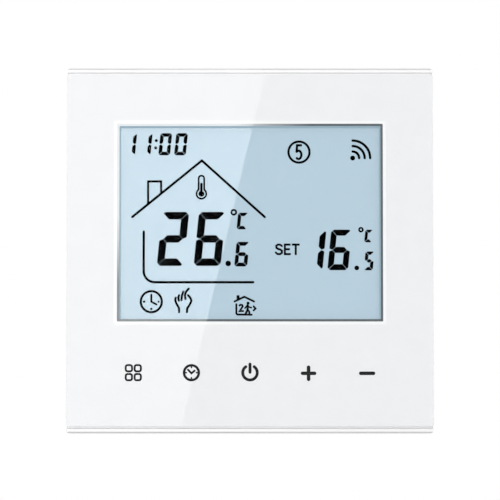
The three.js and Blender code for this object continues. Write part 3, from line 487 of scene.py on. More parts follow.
PRINT_WHITE = printed("white_back_print", (0.71, 0.71, 0.722), (0.70, 0.70, 0.712), 0.006, 0.28)
PRINT_BRIGHT = printed("bright_border_print", (0.775, 0.775, 0.78), (0.765, 0.765, 0.77), 0.006, 0.5)
RIM_PAINTED_SHADOW_AND_GLARE = rim_painted_shadow_and_glare()
PRINT_KEY = printed("dark_key_print", (0.0175, 0.0175, 0.019), (0.0235, 0.0235, 0.025))
SEGMENTS = segment_ink()


# ---------------------------------------------------------------- front panel
PANEL_LOW, PANEL_HIGH = node_box("front_panel")
GLASS_LOW, GLASS_HIGH = node_box("display_glass")
PANEL_WIDE, _, PANEL_TALL = PANEL_HIGH - PANEL_LOW
PANEL_CORNER = 0.5
PANEL_EDGE = 0.25
WINDOW = {"width": 61.86, "height": 45.92, "z": 6.5}
# the clear layer's thickness, with the print on its back
PRINT_FRONT = PANEL_LOW[1] + 0.45
KEY_Z = -28.7
KEY_PITCH = 13.7


def window_outline(grow):
    """The window's outline, grown on all sides, with nearly square corners."""
    return rounded(WINDOW["width"] + 2 * grow, WINDOW["height"] + 2 * grow, 0.25, 0, WINDOW["z"])


def panel_shell():
    """Clear front layer of the panel: rings from the middle of its softly rounded front face
    round the edge to its back, where white print, bright border and a dark rim with painted
    shadow and painted glare surround the clear window one inside the other."""
    flat, front = 0.15, PANEL_LOW[1]
    turn = np.linspace(0, TURN / 4, 5)
    inset = np.concatenate([[PANEL_EDGE + flat], PANEL_EDGE * (1 - np.sin(turn)), [0.0, flat]])
    depth = np.concatenate([[front], front + PANEL_EDGE * (1 - np.cos(turn)), [PRINT_FRONT, PRINT_FRONT]])
    rows = [at_depth(rounded(PANEL_WIDE - 2 * i, PANEL_TALL - 2 * i, PANEL_CORNER), y)
            for i, y in zip(inset, depth)]
    rows += [at_depth(window_outline(grow), PRINT_FRONT) for grow in (1.0, 0.28, -0.27)]
    count = len(rows[0])
    # rim: the finish with the window edge's painted shadow and the glare's painted reflection
    clear, white, bright, rim = 0, 1, 2, 3
    bands = [clear] * (len(inset) - 2) + [white, white, bright, rim]
    return np.vstack(rows), closed_rows(len(rows), count), np.append(np.repeat(bands, count), [clear, clear])


def panel_core():
    """White layer behind the print: the space between the panel's outline and the window's,
    with the window's wall in the rim's finish of painted shadow and painted glare."""
    outer = rounded(PANEL_WIDE, PANEL_TALL, PANEL_CORNER)
    points, faces = collar(outer, window_outline(0.2), PRINT_FRONT + 0.005, PANEL_HIGH[1] - 0.03)
    return points, faces, np.repeat([1, 3, 1, 1], len(outer))


def front_panel():
    """Clear layer and white core as one piece."""
    finishes = [ACRYLIC, PRINT_WHITE, PRINT_BRIGHT, RIM_PAINTED_SHADOW_AND_GLARE]
    add_piece("front_panel_glazing", [panel_shell(), panel_core()], finishes, "front_unit",
              replaces=["front_panel"])


def seat_lips():
    """White lips of the housing that rise in the open lines above and below the panel."""
    near, far, half = PANEL_HIGH[2] + 0.02, PANEL_HIGH[2] + 0.53, PANEL_HIGH[0] - 0.35
    front, back = PANEL_LOW[1] + 1.15, PANEL_HIGH[1] + 0.18
    lips = [box(-half, half, front, back, *heights) for heights in ((-far, -near), (near, far))]
    add_piece("panel_seat_lips", lips, [WHITE_SHELL], "front_unit", bevel=0.05)


def key_marks():
    """The five printed touch keys, from left to right: flat strokes on the back of the panel."""
    front, back = PRINT_FRONT - 0.03, PRINT_FRONT + 0.03
    menu, clock, power, plus, minus = [(i - 2) * KEY_PITCH for i in range(5)]
    bar_z, bold = KEY_Z - 0.15, 0.82

    def stroke(path, width, closed=False):
        """Printed stroke of even width."""
        return ribbon(path, width, front, back, closed)

    def mark(name, shapes):
        """One key's mark as its own piece."""
        add_piece("key_mark_" + name, shapes, [PRINT_KEY], "front_unit")

    squares = [rounded(1.46, 1.46, 0.45, menu + 0.1 + side * 1.04, KEY_Z + level * 1.04)
               for side in (-1, 1) for level in (-1, 1)]
    mark("menu", [stroke(square, 0.46, True) for square in squares])
    hands = [(clock - 0.79, KEY_Z + 0.67), (clock, bar_z), (clock + 0.72, KEY_Z + 0.45)]
    ticks = [np.array([[math.sin(a), math.cos(a)]]) * [[1.2], [1.42]] + (clock, KEY_Z)
             for a in (0, TURN / 4, TURN / 2, -TURN / 4)]
    mark("clock", [stroke(disc(clock, KEY_Z, 1.73, 40), 0.58, True), stroke(hands, 0.48)]
         + [stroke(tick, 0.36) for tick in ticks])
    mark("power", [stroke(arc(power, KEY_Z, 1.7, 125, 415, 40), 0.68),
                   stroke([(power, KEY_Z + 2.0), (power, KEY_Z + 0.1)], 0.7)])
    upright = ribbon([(plus, KEY_Z - 1.55), (plus, KEY_Z + 1.27)], bold, front - 0.01, back + 0.01)
    mark("plus", [stroke([(plus - 1.42, bar_z), (plus + 1.42, bar_z)], bold), upright])
    mark("minus", [stroke([(minus - 1.5, bar_z), (minus + 1.5, bar_z)], bold)])


# ---------------------------------------------------------------- display
# depths in the cell, from its front: front glass, liquid crystal artwork, backlit ground
FRONT_GLASS_BACK = GLASS_LOW[1] + 0.55
INK = (GLASS_LOW[1] + 0.62, GLASS_LOW[1] + 0.68)
GROUND_FRONT = GLASS_LOW[1] + 0.75
LEAN = 0.1
# lit bars of each figure: a at the top, b to f clockwise, g in the middle, l for e and f in one
LIT = {"0": "abcdef", "1": "bc", "2": "abged", "5": "afgcd", "6": "afgecd", "C": "ald"}


def display_cell():
    """Front glass of the cell, and the backlit ground behind the liquid crystal."""
    width, _, height = GLASS_HIGH - GLASS_LOW
    outline = rounded(width, height, 0.15, 0, (GLASS_HIGH[2] + GLASS_LOW[2]) / 2)
    # the ground's glow is painted darker just inside these bounds, as the window edge's shadow
    light = backlit(GLASS_LOW + (2, 0, 2), GLASS_HIGH - (2, 0, 2))
    add_piece("display_front_glass", [prism(outline, GLASS_LOW[1], FRONT_GLASS_BACK)], [ACRYLIC],
              "front_unit", bevel=0.08)
    add_piece("display_ground", [prism(outline, GROUND_FRONT, GLASS_HIGH[1])], [light],
              "front_unit", replaces=["display_glass"], bevel=0.08)


def seen_at(points):
    """Artwork drawn on the panel's front plane, let out a little for its depth behind it."""
    return np.asarray(points, float) * 1.007 + np.array([0.0, 0.1])


def ink(path, width, closed=False, round_ends=True):
    """Stroke of even width in the liquid crystal."""
    return ribbon(seen_at(path), width, *INK, closed, round_ends)


def dot(x, z, radius):
    """Filled circle in the liquid crystal."""
    return prism(seen_at(disc(x, z, radius, 20)), *INK)


def circle(x, z, radius, width, steps=44):
    """Open circle in the liquid crystal."""
    return ink(disc(x, z, radius, steps), width, True)


def figure(symbol, x, z, width, height, thick, gap=0.05):
    """Seven-segment figure about its middle (x, z): mitred bars with hairline gaps, outer
    corners cut off, all sheared to the right."""
    w, h, t, cut = width / 2, height / 2, thick, thick * 0.42
    half_cut = cut / 2
    top = [(-w + cut + gap, h), (w - cut - gap, h), (w - half_cut - gap, h - half_cut),
           (w - t - gap, h - t), (-w + t + gap, h - t), (-w + half_cut + gap, h - half_cut)]
    left = [(-w, h - cut - gap), (-w + half_cut, h - half_cut - gap), (-w + t, h - t - gap),
            (-w + t, t / 2 + gap), (-w + t / 2, gap), (-w, gap + half_cut)]
    bar = [(-w + t / 2 + gap, 0), (-w + t + gap, t / 2), (w - t - gap, t / 2),
           (w - t / 2 - gap, 0), (w - t - gap, -t / 2), (-w + t + gap, -t / 2)]
    foot = [(-w + t, t + gap - h), (-w + half_cut, half_cut + gap - h), (-w, cut + gap - h)]
    bars = {"a": np.array(top), "f": np.array(left), "g": np.array(bar), "l": np.array(left[:3] + foot)}
    for letter, like, turn in (("d", "a", (1, -1)), ("b", "f", (-1, 1)), ("e", "f", (1, -1)),
                               ("c", "f", (-1, -1))):
        bars[letter] = bars[like] * turn
    lean_over = np.array([[1, 0], [LEAN, 1]])
    return [prism(seen_at(bars[k] @ lean_over + (x, z)), *INK) for k in LIT[symbol]]


def show(name, shapes):
    """One item of the display's artwork as its own piece."""
    add_piece("display_" + name, shapes, [SEGMENTS], "front_unit")


def display_house():
    """Clock time above the house's outline, and the thermometer under its roof."""
    show("time", figure("1", -28.1, 24.85, 2.7, 5.2, 0.84) + figure("1", -24.47, 24.85, 2.7, 5.2, 0.84)
         + figure("0", -19.9, 24.85, 2.75, 5.2, 0.84) + figure("0", -16.2, 24.85, 2.75, 5.2, 0.84)
         + [dot(-22.0, 25.7, 0.36), dot(-22.15, 24.0, 0.36)])
    roof = [(-27.6, 7.75), (-11.3, 21.0), (3.45, 7.75)]
    stack = [(-23.9, 10.9), (-23.9, 16.1), (-20.85, 16.1), (-20.85, 13.7)]
    floor = np.vstack([[(-24.9, 4.3)], arc(-22.3, -4.95, 2.6, 180, 270, 12), [(0.75, -7.55)]])
    show("house", [ink(roof, 0.57), ink(stack, 0.52), ink(floor, 0.57)])
    bulb_x, bulb_z, bulb, stem = -11.4, 13.2, 1.15, 0.65
    open_by = math.degrees(math.asin(stem / bulb))
    glass = np.vstack([arc(bulb_x, bulb_z, bulb, 90 + open_by, 450 - open_by, 30),
                       arc(bulb_x, 16.8, stem, 0, 180, 12)])
    show("thermometer", [ink(glass, 0.42, True), dot(bulb_x, bulb_z, 0.7),
                         ink([(bulb_x, bulb_z), (bulb_x, 15.5)], 0.58)])


def display_temperatures():
    """Room temperature in large figures, and the set label with its smaller ones."""
    show("room_temperature", figure("2", -18.05, 2.6, 6.35, 12.65, 1.75, gap=0.035)
         + figure("6", -9.42, 2.6, 6.35, 12.65, 1.75, gap=0.035) + [dot(-5.1, -3.15, 0.66)]
         + figure("6", -1.9, -0.97, 3.05, 5.75, 0.9) + figure("C", -1.77, 6.8, 2.4, 3.9, 0.8)
         + [circle(-3.8, 8.85, 0.56, 0.45, 20)])
    curve = [(7.45, 0.95), (7.05, 1.25), (6.5, 1.25), (6.15, 0.95), (6.2, 0.5), (6.6, 0.25), (7.1, 0.1),
             (7.5, -0.2), (7.45, -0.68), (7.05, -0.95), (6.45, -0.95), (6.05, -0.6)]
    straight = [[(9.5, 1.27), (8.17, 1.27), (8.17, -0.96), (9.55, -0.96)], [(8.17, 0.18), (9.35, 0.18)],
                [(9.8, 1.27), (11.65, 1.27)], [(10.72, 1.27), (10.72, -1.18)]]
    show("set_label", [ink(curve, 0.5)] + [ink(path, 0.5, False, False) for path in straight])
    show("set_temperature", figure("1", 15.1, 0.02, 4.7, 9.5, 1.45) + figure("6", 21.0, 0.02, 4.85, 9.5, 1.4)
         + [dot(25.0, -4.2, 0.56)] + figure("5", 27.9, -2.55, 2.1, 4.4, 0.78)
         + figure("C", 27.8, 3.28, 1.8, 2.95, 0.68) + [circle(26.0, 4.76, 0.44, 0.42, 20)])


def display_symbols():
    """Circled number of the day, signal waves, timer, raised hand and the walker at home."""
    flag = [(12.2, 24.6), (11.05, 24.6), (10.95, 23.1)]
    belly = arc(0, 0, 1, 132, -128, 16) * (0.66, 0.98) + (11.4, 22.35)
    show("day_five", [circle(11.5, 23.0, 2.47, 0.54), ink(flag, 0.55, False, False), ink(belly, 0.55)])
    show("signal", [dot(24.1, 21.6, 0.58)]
         + [ink(arc(24.1, 21.6, radius, 0, 90, 16), 0.58) for radius in (1.52, 2.82, 4.11)])
    hands = [(-23.1, -10.45), (-23.1, -12.1), (-21.9, -12.75)]
    show("timer", [circle(-23.1, -12.1, 2.46, 0.54), ink(hands, 0.46),
                   dot(-24.8, -12.1, 0.28), dot(-21.4, -12.1, 0.24), dot(-23.1, -13.8, 0.28)])
    hand = [[(-16.6, -14.55), (-16.6, -13.6), (-17.2, -12.6), (-17.5, -11.75), (-17.4, -11.15)],
            [(-16.6, -10.6), (-16.8, -11.2), (-16.65, -11.85)],
            [(-15.6, -9.75), (-15.95, -10.7), (-16.05, -11.75)],
            [(-14.35, -9.05), (-14.95, -9.75), (-15.25, -10.55), (-15.1, -11.45)],
            [(-14.5, -10.6), (-14.0, -11.15), (-13.7, -11.85), (-14.15, -12.9), (-14.7, -13.65),
             (-14.75, -14.55)]]
    show("manual", [ink(line, 0.52) for line in hand])
    chimney = prism(seen_at(rounded(0.7, 0.9, 0.05, -2.8, -11.05)), *INK)
    two = [(-2.45, -13.0), (-2.25, -12.82), (-1.85, -12.87), (-1.7, -13.2), (-2.4, -14.3), (-1.6, -14.3)]
    show("at_home", [
        ink([(-3.6, -12.05), (-1.35, -10.95), (0.95, -12.05)], 0.48), chimney,
        ink([(-3.2, -12.7), (-3.2, -14.8), (-3.0, -15.1), (0.4, -15.15)], 0.46), ink(two, 0.45),
        dot(-0.45, -12.45, 0.36), ink([(-0.55, -12.9), (-0.55, -14.0), (-1.0, -14.85)], 0.52),
        ink([(-0.55, -14.0), (-0.2, -14.4), (-0.12, -14.9)], 0.46),
        ink([(-1.15, -13.6), (-0.7, -13.1), (-0.1, -13.4), (0.3, -13.5)], 0.4),
        ink([(0.85, -13.2), (1.3, -13.7), (0.85, -14.15)], 0.46)])


# ---------------------------------------------------------------- screws
def crossed(arm, bit):
    """Depth share of a cross-shaped recess: full within the arms, with short sloping walls."""
    def recess(x, z):
        """Share at a point of the head, from its middle."""
        along, across = np.maximum(np.abs(x), np.abs(z)), np.minimum(np.abs(x), np.abs(z))
        gap = np.maximum(along - arm, across - bit)
        return np.clip(0.5 - gap / 0.16, 0, 1) * (1 - 0.45 * np.clip(along / arm, 0, 1))
    return recess


def slotted(half):
    """Depth share of a straight slot across the whole head."""
    return lambda x, z: np.clip(0.5 - (np.abs(z) - half) / 0.1, 0, 1)


def screw(node, body, way, shank, head, height, pitch, depth, recess, crown=0.3):
    """Headed screw about a line along Y, whose head is at the front of the node's box for
    way 1 and at its back for way -1. The head is a shallow dome over the two parameters
    radius and angle, lowered where the recess is; the thread is a ridge whose height is a
    triangle wave of depth over pitch less angle over one turn."""
    low, high = node_box(node)
    centre = (low + high) / 2
    seat = low[1] + height if way > 0 else high[1] - height
    tip = high[1] - low[1] - height
    columns, across = 96, 40
    angle = np.linspace(0, TURN, columns, endpoint=False)
    share = np.linspace(0.03, 0.97, 34)
    radius = np.concatenate([share, [0.99, 1.0]]) * head
    rise = np.concatenate([1 - crown * share ** 2.2, [1 - crown * 1.06, 1 - crown * 1.25]])
    u, v = radius[:, None] * np.cos(angle), radius[:, None] * np.sin(angle)
    along = np.minimum(-height * rise[:, None] + depth * recess(u, v), -height * 0.12)
    rim = np.array([1.0, 0.96])[:, None]
    u = np.vstack([u, rim * head * np.cos(angle)])
    v = np.vstack([v, rim * head * np.sin(angle)])
    along = np.vstack([along, np.repeat([[-height * 0.1], [0.0]], columns, 1)])
    turns = np.linspace(0, TURN, across, endpoint=False)[None, :]
    t = np.minimum(np.arange(-0.15 * height, tip + pitch / 16, pitch / 8)[:, None], tip)
    wave = np.abs(1 - 2 * np.mod(t / pitch - turns / TURN, 1))
    plain = np.clip((t - 0.12 * tip) / pitch, 0, 1)
    point = np.clip((tip - t) / shank, 0, 1) ** 0.6 * 0.75 + 0.25
    r = shank * point * (0.8 + 0.2 * np.where(plain > 0, 1 - plain * (1 - wave), 1))
    shapes = []
    for gu, gt, gv in ((u, along, v), (r * np.cos(turns), np.repeat(t, across, 1), r * np.sin(turns))):
        points = np.stack([gu + centre[0], seat + way * gt, gv + centre[2]], -1).reshape(-1, 3)
        shapes.append((points, closed_rows(*gu.shape)))
    add_piece(node + "_threaded", shapes, [SCREW_STEEL], body, replaces=[node], smooth=32)


def all_screws():
    """Wall-box, lid, board and terminal screws, each placed by its frame node's box."""
    for side in ("left", "right"):
        screw("box_screw_" + side, "rear_unit", 1, shank=1.9, head=3.3, height=2.1, pitch=0.8, depth=1.25,
              recess=crossed(1.9, 0.42))
    for i in range(1, 5):
        screw(f"lid_screw_{i}", "rear_unit", 1, shank=1.2, head=2.0, height=1.4, pitch=0.6, depth=0.8,
              recess=crossed(1.15, 0.26))
        screw(f"board_screw_{i}", "front_unit", -1, shank=0.75, head=1.7, height=1.1, pitch=0.45, depth=0.65,
              recess=crossed(1.0, 0.22))
    for i in range(1, 7):
        screw(f"terminal_screw_{i}", f"screw_{i}", -1, shank=1.4, head=2.1, height=1.6, pitch=0.5, depth=0.8,
              recess=slotted(0.4), crown=0.12)


# ---------------------------------------------------------------- circuit pieces
def middle(node):
    """Middle of a frame node's box, with its lowest and highest corner."""
    low, high = node_box(node)
    return (low + high) / 2, low, high


def with_finish(number, shapes):
    """Gives a list of (corners, faces) shapes one finish number."""
    return [(points, faces, number) for points, faces in shapes]


BOARD_BACK = node_box("display_board")[1][1]


def touch_springs():
    """Sensing springs: a wire along a helix whose rise eases to nothing in the end turns."""
    wire, turns = 0.5, 4.6
    for name in ("menu", "clock", "power", "plus", "minus"):
        (x, _, z), low, high = middle("touch_spring_" + name)
        t = np.linspace(0, 1, 190)
        rise = t - 0.75 * np.sin(TURN * t) / TURN
        y = low[1] + wire / 2 + rise * (high[1] - low[1] - wire)
        radius = (high[0] - low[0] - wire) / 2 - 0.02
        reach = radius * np.clip(0.9 + 0.1 * np.minimum(t, 1 - t) * 12, 0, 1)
        angle = TURN * turns * t
        path = np.stack([x + reach * np.cos(angle), y, z + reach * np.sin(angle)], 1)
        add_piece(f"touch_spring_{name}_wire", [tube(path, wire / 2 - 0.005)], [SPRING_WIRE],
                  "front_unit", replaces=["touch_spring_" + name], smooth=60)


def quarter_turned(shapes, x, z):
    """Turns shapes a quarter turn about a line along Y through (x, z)."""
    moved = []
    for points, faces, *rest in shapes:
        away = points - np.array([x, 0, z])
        moved.append((np.stack([x + away[:, 2], points[:, 1], z - away[:, 0]], 1), faces, *rest))
    return moved


def gull_legs(x0, x1, z, side, y0, y1, count, wide, reach):
    """Flat chip legs: a strip bent out, down and out again, one every even step."""
    bends = [(0, y1), (reach * 0.35, y1), (reach * 0.6, y0 + 0.12), (reach, y0 + 0.12)]
    section = np.array([(-1, -1), (1, -1), (1, 1), (-1, 1)]) * (wide / 2, 0.09)
    legs = []
    for x in np.linspace(x0, x1, count):
        rings = [[(x + across, y + over, z + side * out) for across, over in section] for out, y in bends]
        legs.append((np.array(rings).reshape(-1, 3), closed_rows(4, 4)))
    return legs


def chips(name, places, finish, size, depth):
    """Small two-ended parts soldered flat: a body between two slightly larger tinned ends. Each
    place is (x, z, upright)."""
    (long, wide), y0 = size, BOARD_BACK
    shapes = []
    for x, z, upright in places:
        chip = [(*box(x - long * 0.3, x + long * 0.3, y0, y0 + depth, z - wide / 2, z + wide / 2), 0)]
        for near, far in ((-0.5, -0.28), (0.28, 0.5)):
            chip.append((*box(x + long * near, x + long * far, y0, y0 + depth * 1.04,
                              z - wide * 0.52, z + wide * 0.52), 1))
        shapes += quarter_turned(chip, x, z) if upright else chip
    add_piece(name, shapes, [finish, TIN], "front_unit", bevel=0.05, steps=1)


def controller_chip():
    """Square chip with a moulded dot in its corner and twelve bent legs on each side."""
    (x, _, z), _, high = middle("controller_chip")
    package = prism(rounded(8.4, 8.4, 0.3, x, z), BOARD_BACK + 0.15, high[1])
    mark = turned([(0.5, -0.02), (0.5, 0.0), (0.42, 0.03)], (x - 3.2, high[1] - 0.04, z + 3.2), "y", 20)
    legs = []
    for side in (-1, 1):
        row = gull_legs(x - 3.6, x + 3.6, z + side * 4.1, side, BOARD_BACK, BOARD_BACK + 0.7, 12, 0.32, 0.85)
        legs += row + quarter_turned(row, x, z)
    add_piece("controller_chip_package", [package, mark] + with_finish(1, legs), [CHIP_EPOXY, TIN],
              "front_unit", replaces=["controller_chip"], bevel=0.04, steps=1)


def board_small_parts():
    """Ceramics, resistors, crystal and regulator on the back of the display board."""
    chips("board_ceramics",
          [(-4, -6, 0), (-4, -8.2, 0), (-4, -10.4, 1), (0.5, -17, 1), (3.0, -17, 1), (14.2, -4.6, 0),
           (14.2, -7.0, 0), (15, -14, 1), (20.5, -12, 1), (23, -12, 1), (26, 2, 0), (26, 4.4, 0), (-20, 8, 1),
           (-17.5, 8, 1), (-24, 0, 0), (5, 5.5, 0), (1.0, 5.5, 0), (-30, -6, 1), (30.5, -20, 1)],
          CERAMIC, (1.7, 0.85), 0.75)
    chips("board_resistors",
          [(-8, -3, 1), (-10, -3, 1), (-12, -3, 1), (8, 1.6, 0), (12, 1.6, 0), (18, 20, 1), (20, 20, 1),
           (22, 20, 1), (-12, 20, 0), (-16, 20, 0), (14, -20, 0), (18, -20, 0), (9, -20, 0), (28, -6, 1),
           (30, -6, 1), (-28, 10, 0), (-28, 12.4, 0), (3, 22, 0), (24, -29, 0), (19, -29, 0)],
          CHIP_EPOXY, (1.9, 1.0), 0.5)
    crystal = prism(rounded(5.0, 3.2, 0.9, 15.4, -10), BOARD_BACK, BOARD_BACK + 1.2)
    add_piece("board_crystal", [crystal], [SHIELD], "front_unit", bevel=0.2)
    legs = gull_legs(-25.4, -23.2, 14.1, -1, BOARD_BACK, BOARD_BACK + 0.6, 3, 0.45, 1.0)
    tab = gull_legs(-24.3, -24.29, 17.1, 1, BOARD_BACK, BOARD_BACK + 0.6, 1, 1.6, 1.0)
    body = box(-26, -22.6, BOARD_BACK + 0.1, BOARD_BACK + 1.7, 14, 17.2)
    add_piece("board_regulator", [body] + with_finish(1, legs + tab), [CHIP_EPOXY, TIN],
              "front_unit", bevel=0.08)


def thermistor():
    """Dipped bead: a sine over a half turn, on two bent leads that stand in solder cones."""
    (x, _, z), _, _ = middle("thermistor")
    sweep = np.linspace(0.06, TURN / 2 - 0.06, 18)
    profile = np.stack([1.09 * np.sin(sweep), -0.87 * np.cos(sweep)], 1)
    bead = turned(profile, (x, BOARD_BACK + 1.6, z), "y", 36)
    cone = [(0.62, 0), (0.5, 0.12), (0.3, 0.34), (0.25, 0.5)]
    leads = []
    for side in (-1, 1):
        foot = x + side * 0.55
        lead = [(foot, BOARD_BACK, z), (foot, BOARD_BACK + 0.7, z), (x + side * 0.35, BOARD_BACK + 1.3, z)]
        leads += [tube(lead, 0.22, (1, 0, 0)), turned(cone, (foot, BOARD_BACK, z), "y", 20)]
    add_piece("thermistor_bead", [bead] + with_finish(1, leads), [BEAD, TIN],
              "front_unit", replaces=["thermistor"], smooth=50)


def radio_module():
    """Radio board with a shield can whose top edge is a quarter circle, a folded strip aerial at
    its lower end, and pads down both sides."""
    (x, _, z), low, high = middle("wifi_module")
    wide, _, tall = high - low
    back = low[1]
    face = back + 0.8
    board = prism(rounded(wide, tall, 0.4, x, z), back, face)
    can_wide, can_tall, corner, bend = wide - 1.2, 17.0, 0.9, 0.35
    can_z = high[2] - 0.6 - can_tall / 2
    rows = [at_depth(rounded(can_wide, can_tall, corner, x, can_z, 8), face)]
    for a in np.linspace(0, TURN / 4, 6):
        inset = bend * (1 - math.cos(a))
        outline = rounded(can_wide - 2 * inset, can_tall - 2 * inset, corner - inset, x, can_z, 8)
        rows.append(at_depth(outline, high[1] - bend * (1 - math.sin(a))))
    can = (np.vstack(rows), closed_rows(len(rows), len(rows[0])))
    folds = np.array([(-6.5, 0), (-6.5, 4.2), (-4.9, 4.2), (-4.9, 0.6), (-3.3, 0.6), (-3.3, 4.2), (-1.7, 4.2),
                      (-1.7, 0.6), (-0.1, 0.6), (-0.1, 4.2), (1.5, 4.2), (1.5, 0.6), (3.1, 0.6), (3.1, 4.2),
                      (6.4, 4.2)])
    aerial = ribbon(folds + (x, low[2] + 0.9), 0.6, back + 0.79, back + 0.85, False, False)
    pads = [box(low[0] + edge, low[0] + edge + 0.8, back + 0.1, back + 0.86, height - 0.45, height + 0.45)
            for edge in (0.0, 15.2) for height in np.linspace(high[2] - 15.5, high[2] - 1.5, 8)]
    add_piece("radio_module_can", [board, (*can, 1)] + with_finish(2, [aerial] + pads),
              [BOARD_GREEN, SHIELD, GOLD], "front_unit", replaces=["wifi_module"])


def header_pin_row():
    """Eight gold pins with pointed ends in a row of notched blocks."""
    (_, _, z), low, high = middle("header_pins")
    base = low[1] + 2.5
    notched = np.array([(-1.27, -0.75), (-0.77, -1.25), (0.77, -1.25), (1.27, -0.75),
                        (1.27, 0.75), (0.77, 1.25), (-0.77, 1.25), (-1.27, 0.75)])
    pitch, half, tip = 2.54, 0.32, 0.14
    blocks, pins = [], []
    for x in (np.arange(8) - 3.5) * pitch:
        blocks.append(prism(notched + (x, z), low[1], base))
        rows = [at_depth(rounded(2 * h, 2 * h, 0.04, x, z, 2), y)
                for h, y in ((half, base - 0.3), (half, high[1] - 0.7), (tip, high[1]))]
        pins.append((np.vstack(rows), closed_rows(3, 8)))
    add_piece("header_pin_row", blocks + with_finish(1, pins), [BLACK_NYLON, GOLD],
              "front_unit", replaces=["header_pins"], bevel=0.04, steps=1, smooth=35)


def led_row():
    """Light strip: a narrow board with a row of small phosphor-topped lamps."""
    low, high = node_box("led_strip")
    board = low[1] + 1.55
    shapes = [box(low[0], high[0], board, high[1], low[2], high[2])]
    for z in np.linspace(low[2] + 3, high[2] - 3, 7):
        shapes.append((*box(low[0] + 0.08, high[0], low[1], board, z - 1.4, z + 1.4), 1))
        shapes.append((*box(low[0] + 0.2, high[0] - 0.15, low[1], low[1] + 0.4, z - 1.0, z + 1.0), 2))
    add_piece("led_row", shapes, [BOARD_GREEN, TRAY, PHOSPHOR], "front_unit",
              replaces=["led_strip"], bevel=0.05, steps=1)


def filter_capacitor():
    """Can turned about its axis: rounded foot, crimped neck, straight wall and a lip that curls
    over the top, with a cross pressed in the lid and a pale stripe down the sleeve."""
    (x, _, z), low, high = middle("filter_capacitor")
    r, tall = (high[0] - low[0]) / 2 - 0.02, high[1] - low[1]
    curl = np.linspace(0, TURN / 4, 6)
    wall = [(r - 0.5, 0), (r, 0.35), (r, 1.4), (r - 0.22, 1.65), (r - 0.4, 1.9), (r - 0.22, 2.15), (r, 2.4)]
    lip = np.stack([r - 0.45 + 0.45 * np.cos(curl), tall - 0.45 + 0.45 * np.sin(curl)], 1)
    fold = [(r - 0.75, tall - 0.02), (r - 0.85, tall - 0.2)]
    sleeve = turned(np.vstack([wall, lip, fold]), (x, low[1], z), "y", 64)
    lid = [turned([(r - 0.8, -0.35), (r - 0.8, -0.14), (0.2, -0.14)], (x, high[1], z))]
    for a in (0.3, 0.3 + TURN / 4):
        arm = np.array([2.2 * math.cos(a), 2.2 * math.sin(a)])
        lid.append(ribbon([arm + (x, z), -arm + (x, z)], 0.16, high[1] - 0.16, high[1] - 0.1))
    angle = 2.6 + np.linspace(-0.32, 0.32, 9)
    outwards = np.stack([np.cos(angle), np.sin(angle)], 1)
    band = np.vstack([outwards * (r + 0.012), outwards[::-1] * (r - 0.1)]) + (x, z)
    stripe = prism(band, low[1] + 2.6, high[1] - 0.6)
    add_piece("filter_capacitor_can", [sleeve, (*stripe, 2)] + with_finish(1, lid),
              [SLEEVE, SHIELD, SLEEVE_BAND], "rear_unit", replaces=["filter_capacitor"])


def varistor():
    """Dipped disc: its radius is a low power of the cosine over a half turn, so that it is flat
    in the middle and rounded at the rim."""
    (x, y, z), low, high = middle("varistor")
    half, radius = (high[2] - low[2]) / 2, (high[0] - low[0]) / 2 - 0.02
    sweep = np.linspace(0.12 - TURN / 4, TURN / 4 - 0.12, 22)
    body = turned(np.stack([radius * np.cos(sweep) ** 0.38, half * np.sin(sweep)], 1), (x, y, z), "z", 64)
    legs = []
    for side in (-1, 1):
        foot_x, foot_z = x + side * 2.2, z + side * 0.8
        lead = [(foot_x, low[1] - 1, foot_z), (foot_x, low[1] + 0.8, foot_z),
                (x + side * 1.4, low[1] + 2.2, z + side * 0.2)]
        legs.append(tube(lead, 0.3, (1, 0, 0)))
    add_piece("varistor_disc", [body] + with_finish(1, legs), [DISC_BLUE, TIN], "rear_unit",
              replaces=["varistor"], smooth=60)


def fuse_resistor():
    """Coated body turned about X: a cosine waist between two rounded ends, four colour bands
    that follow its outline, and leads that bend down into the board."""
    (x, y, z), low, high = middle("fuse_resistor")
    half, radius = (high[0] - low[0]) / 2, (high[1] - low[1]) / 2
    t = np.linspace(-1, 1, 41)
    inwards = 1 - np.abs(t)
    outline = radius * (0.9 + 0.1 * np.cos(TURN / 2 * np.clip(inwards * 2.4, 0, 1) - TURN / 2))
    outline *= np.clip(inwards * 14 + 0.35, 0, 1) ** 0.5
    shapes = [turned(np.stack([outline, half * t], 1), (x, y, z), "x", 40)]
    for where, finish in ((-0.72, 1), (-0.38, 2), (-0.1, 1), (0.72, 2)):
        edges = where + np.array([-0.075, -0.07, 0.07, 0.075])
        start, end = np.interp([where - 0.07, where + 0.07], t, outline) + 0.015
        profile = np.stack([[start * 0.8, start, end, end * 0.8], half * edges], 1)
        shapes.append((*turned(profile, (x, y, z), "x", 40), finish))
    bend = arc(0, 0, 0.5, 90, 0, 6)
    for side in (-1, 1):
        corner = [(x + side * (half + 0.1 + out), y - 0.5 + up, z) for out, up in bend]
        lead = [(x + side * (half - 0.3), y, z)] + corner + [(x + side * (half + 0.6), low[1] - 1, z)]
        shapes.append((*tube(lead, 0.3, (0, 0, 1)), 3))
    add_piece("fuse_resistor_body", shapes, [RESISTOR_COAT, BAND_DARK, BAND_GOLD, TIN],
              "rear_unit", replaces=["fuse_resistor"], smooth=50)


def rectifier():
    """Four-legged bridge in a flat moulded case."""
    (x, _, z), low, high = middle("rectifier")
    case = prism(rounded(high[0] - low[0], high[2] - low[2] - 0.9, 0.2, x, z), low[1] + 0.15, high[1])
    legs = []
    for side in (-1, 1):
        legs += gull_legs(low[0] + 1.2, high[0] - 1.2, z + side * 1.5, side, low[1], low[1] + 1.1,
                          2, 0.7, 0.55)
    add_piece("rectifier_package", [case] + with_finish(1, legs), [CHIP_EPOXY, TIN],
              "rear_unit", replaces=["rectifier"], bevel=0.08)


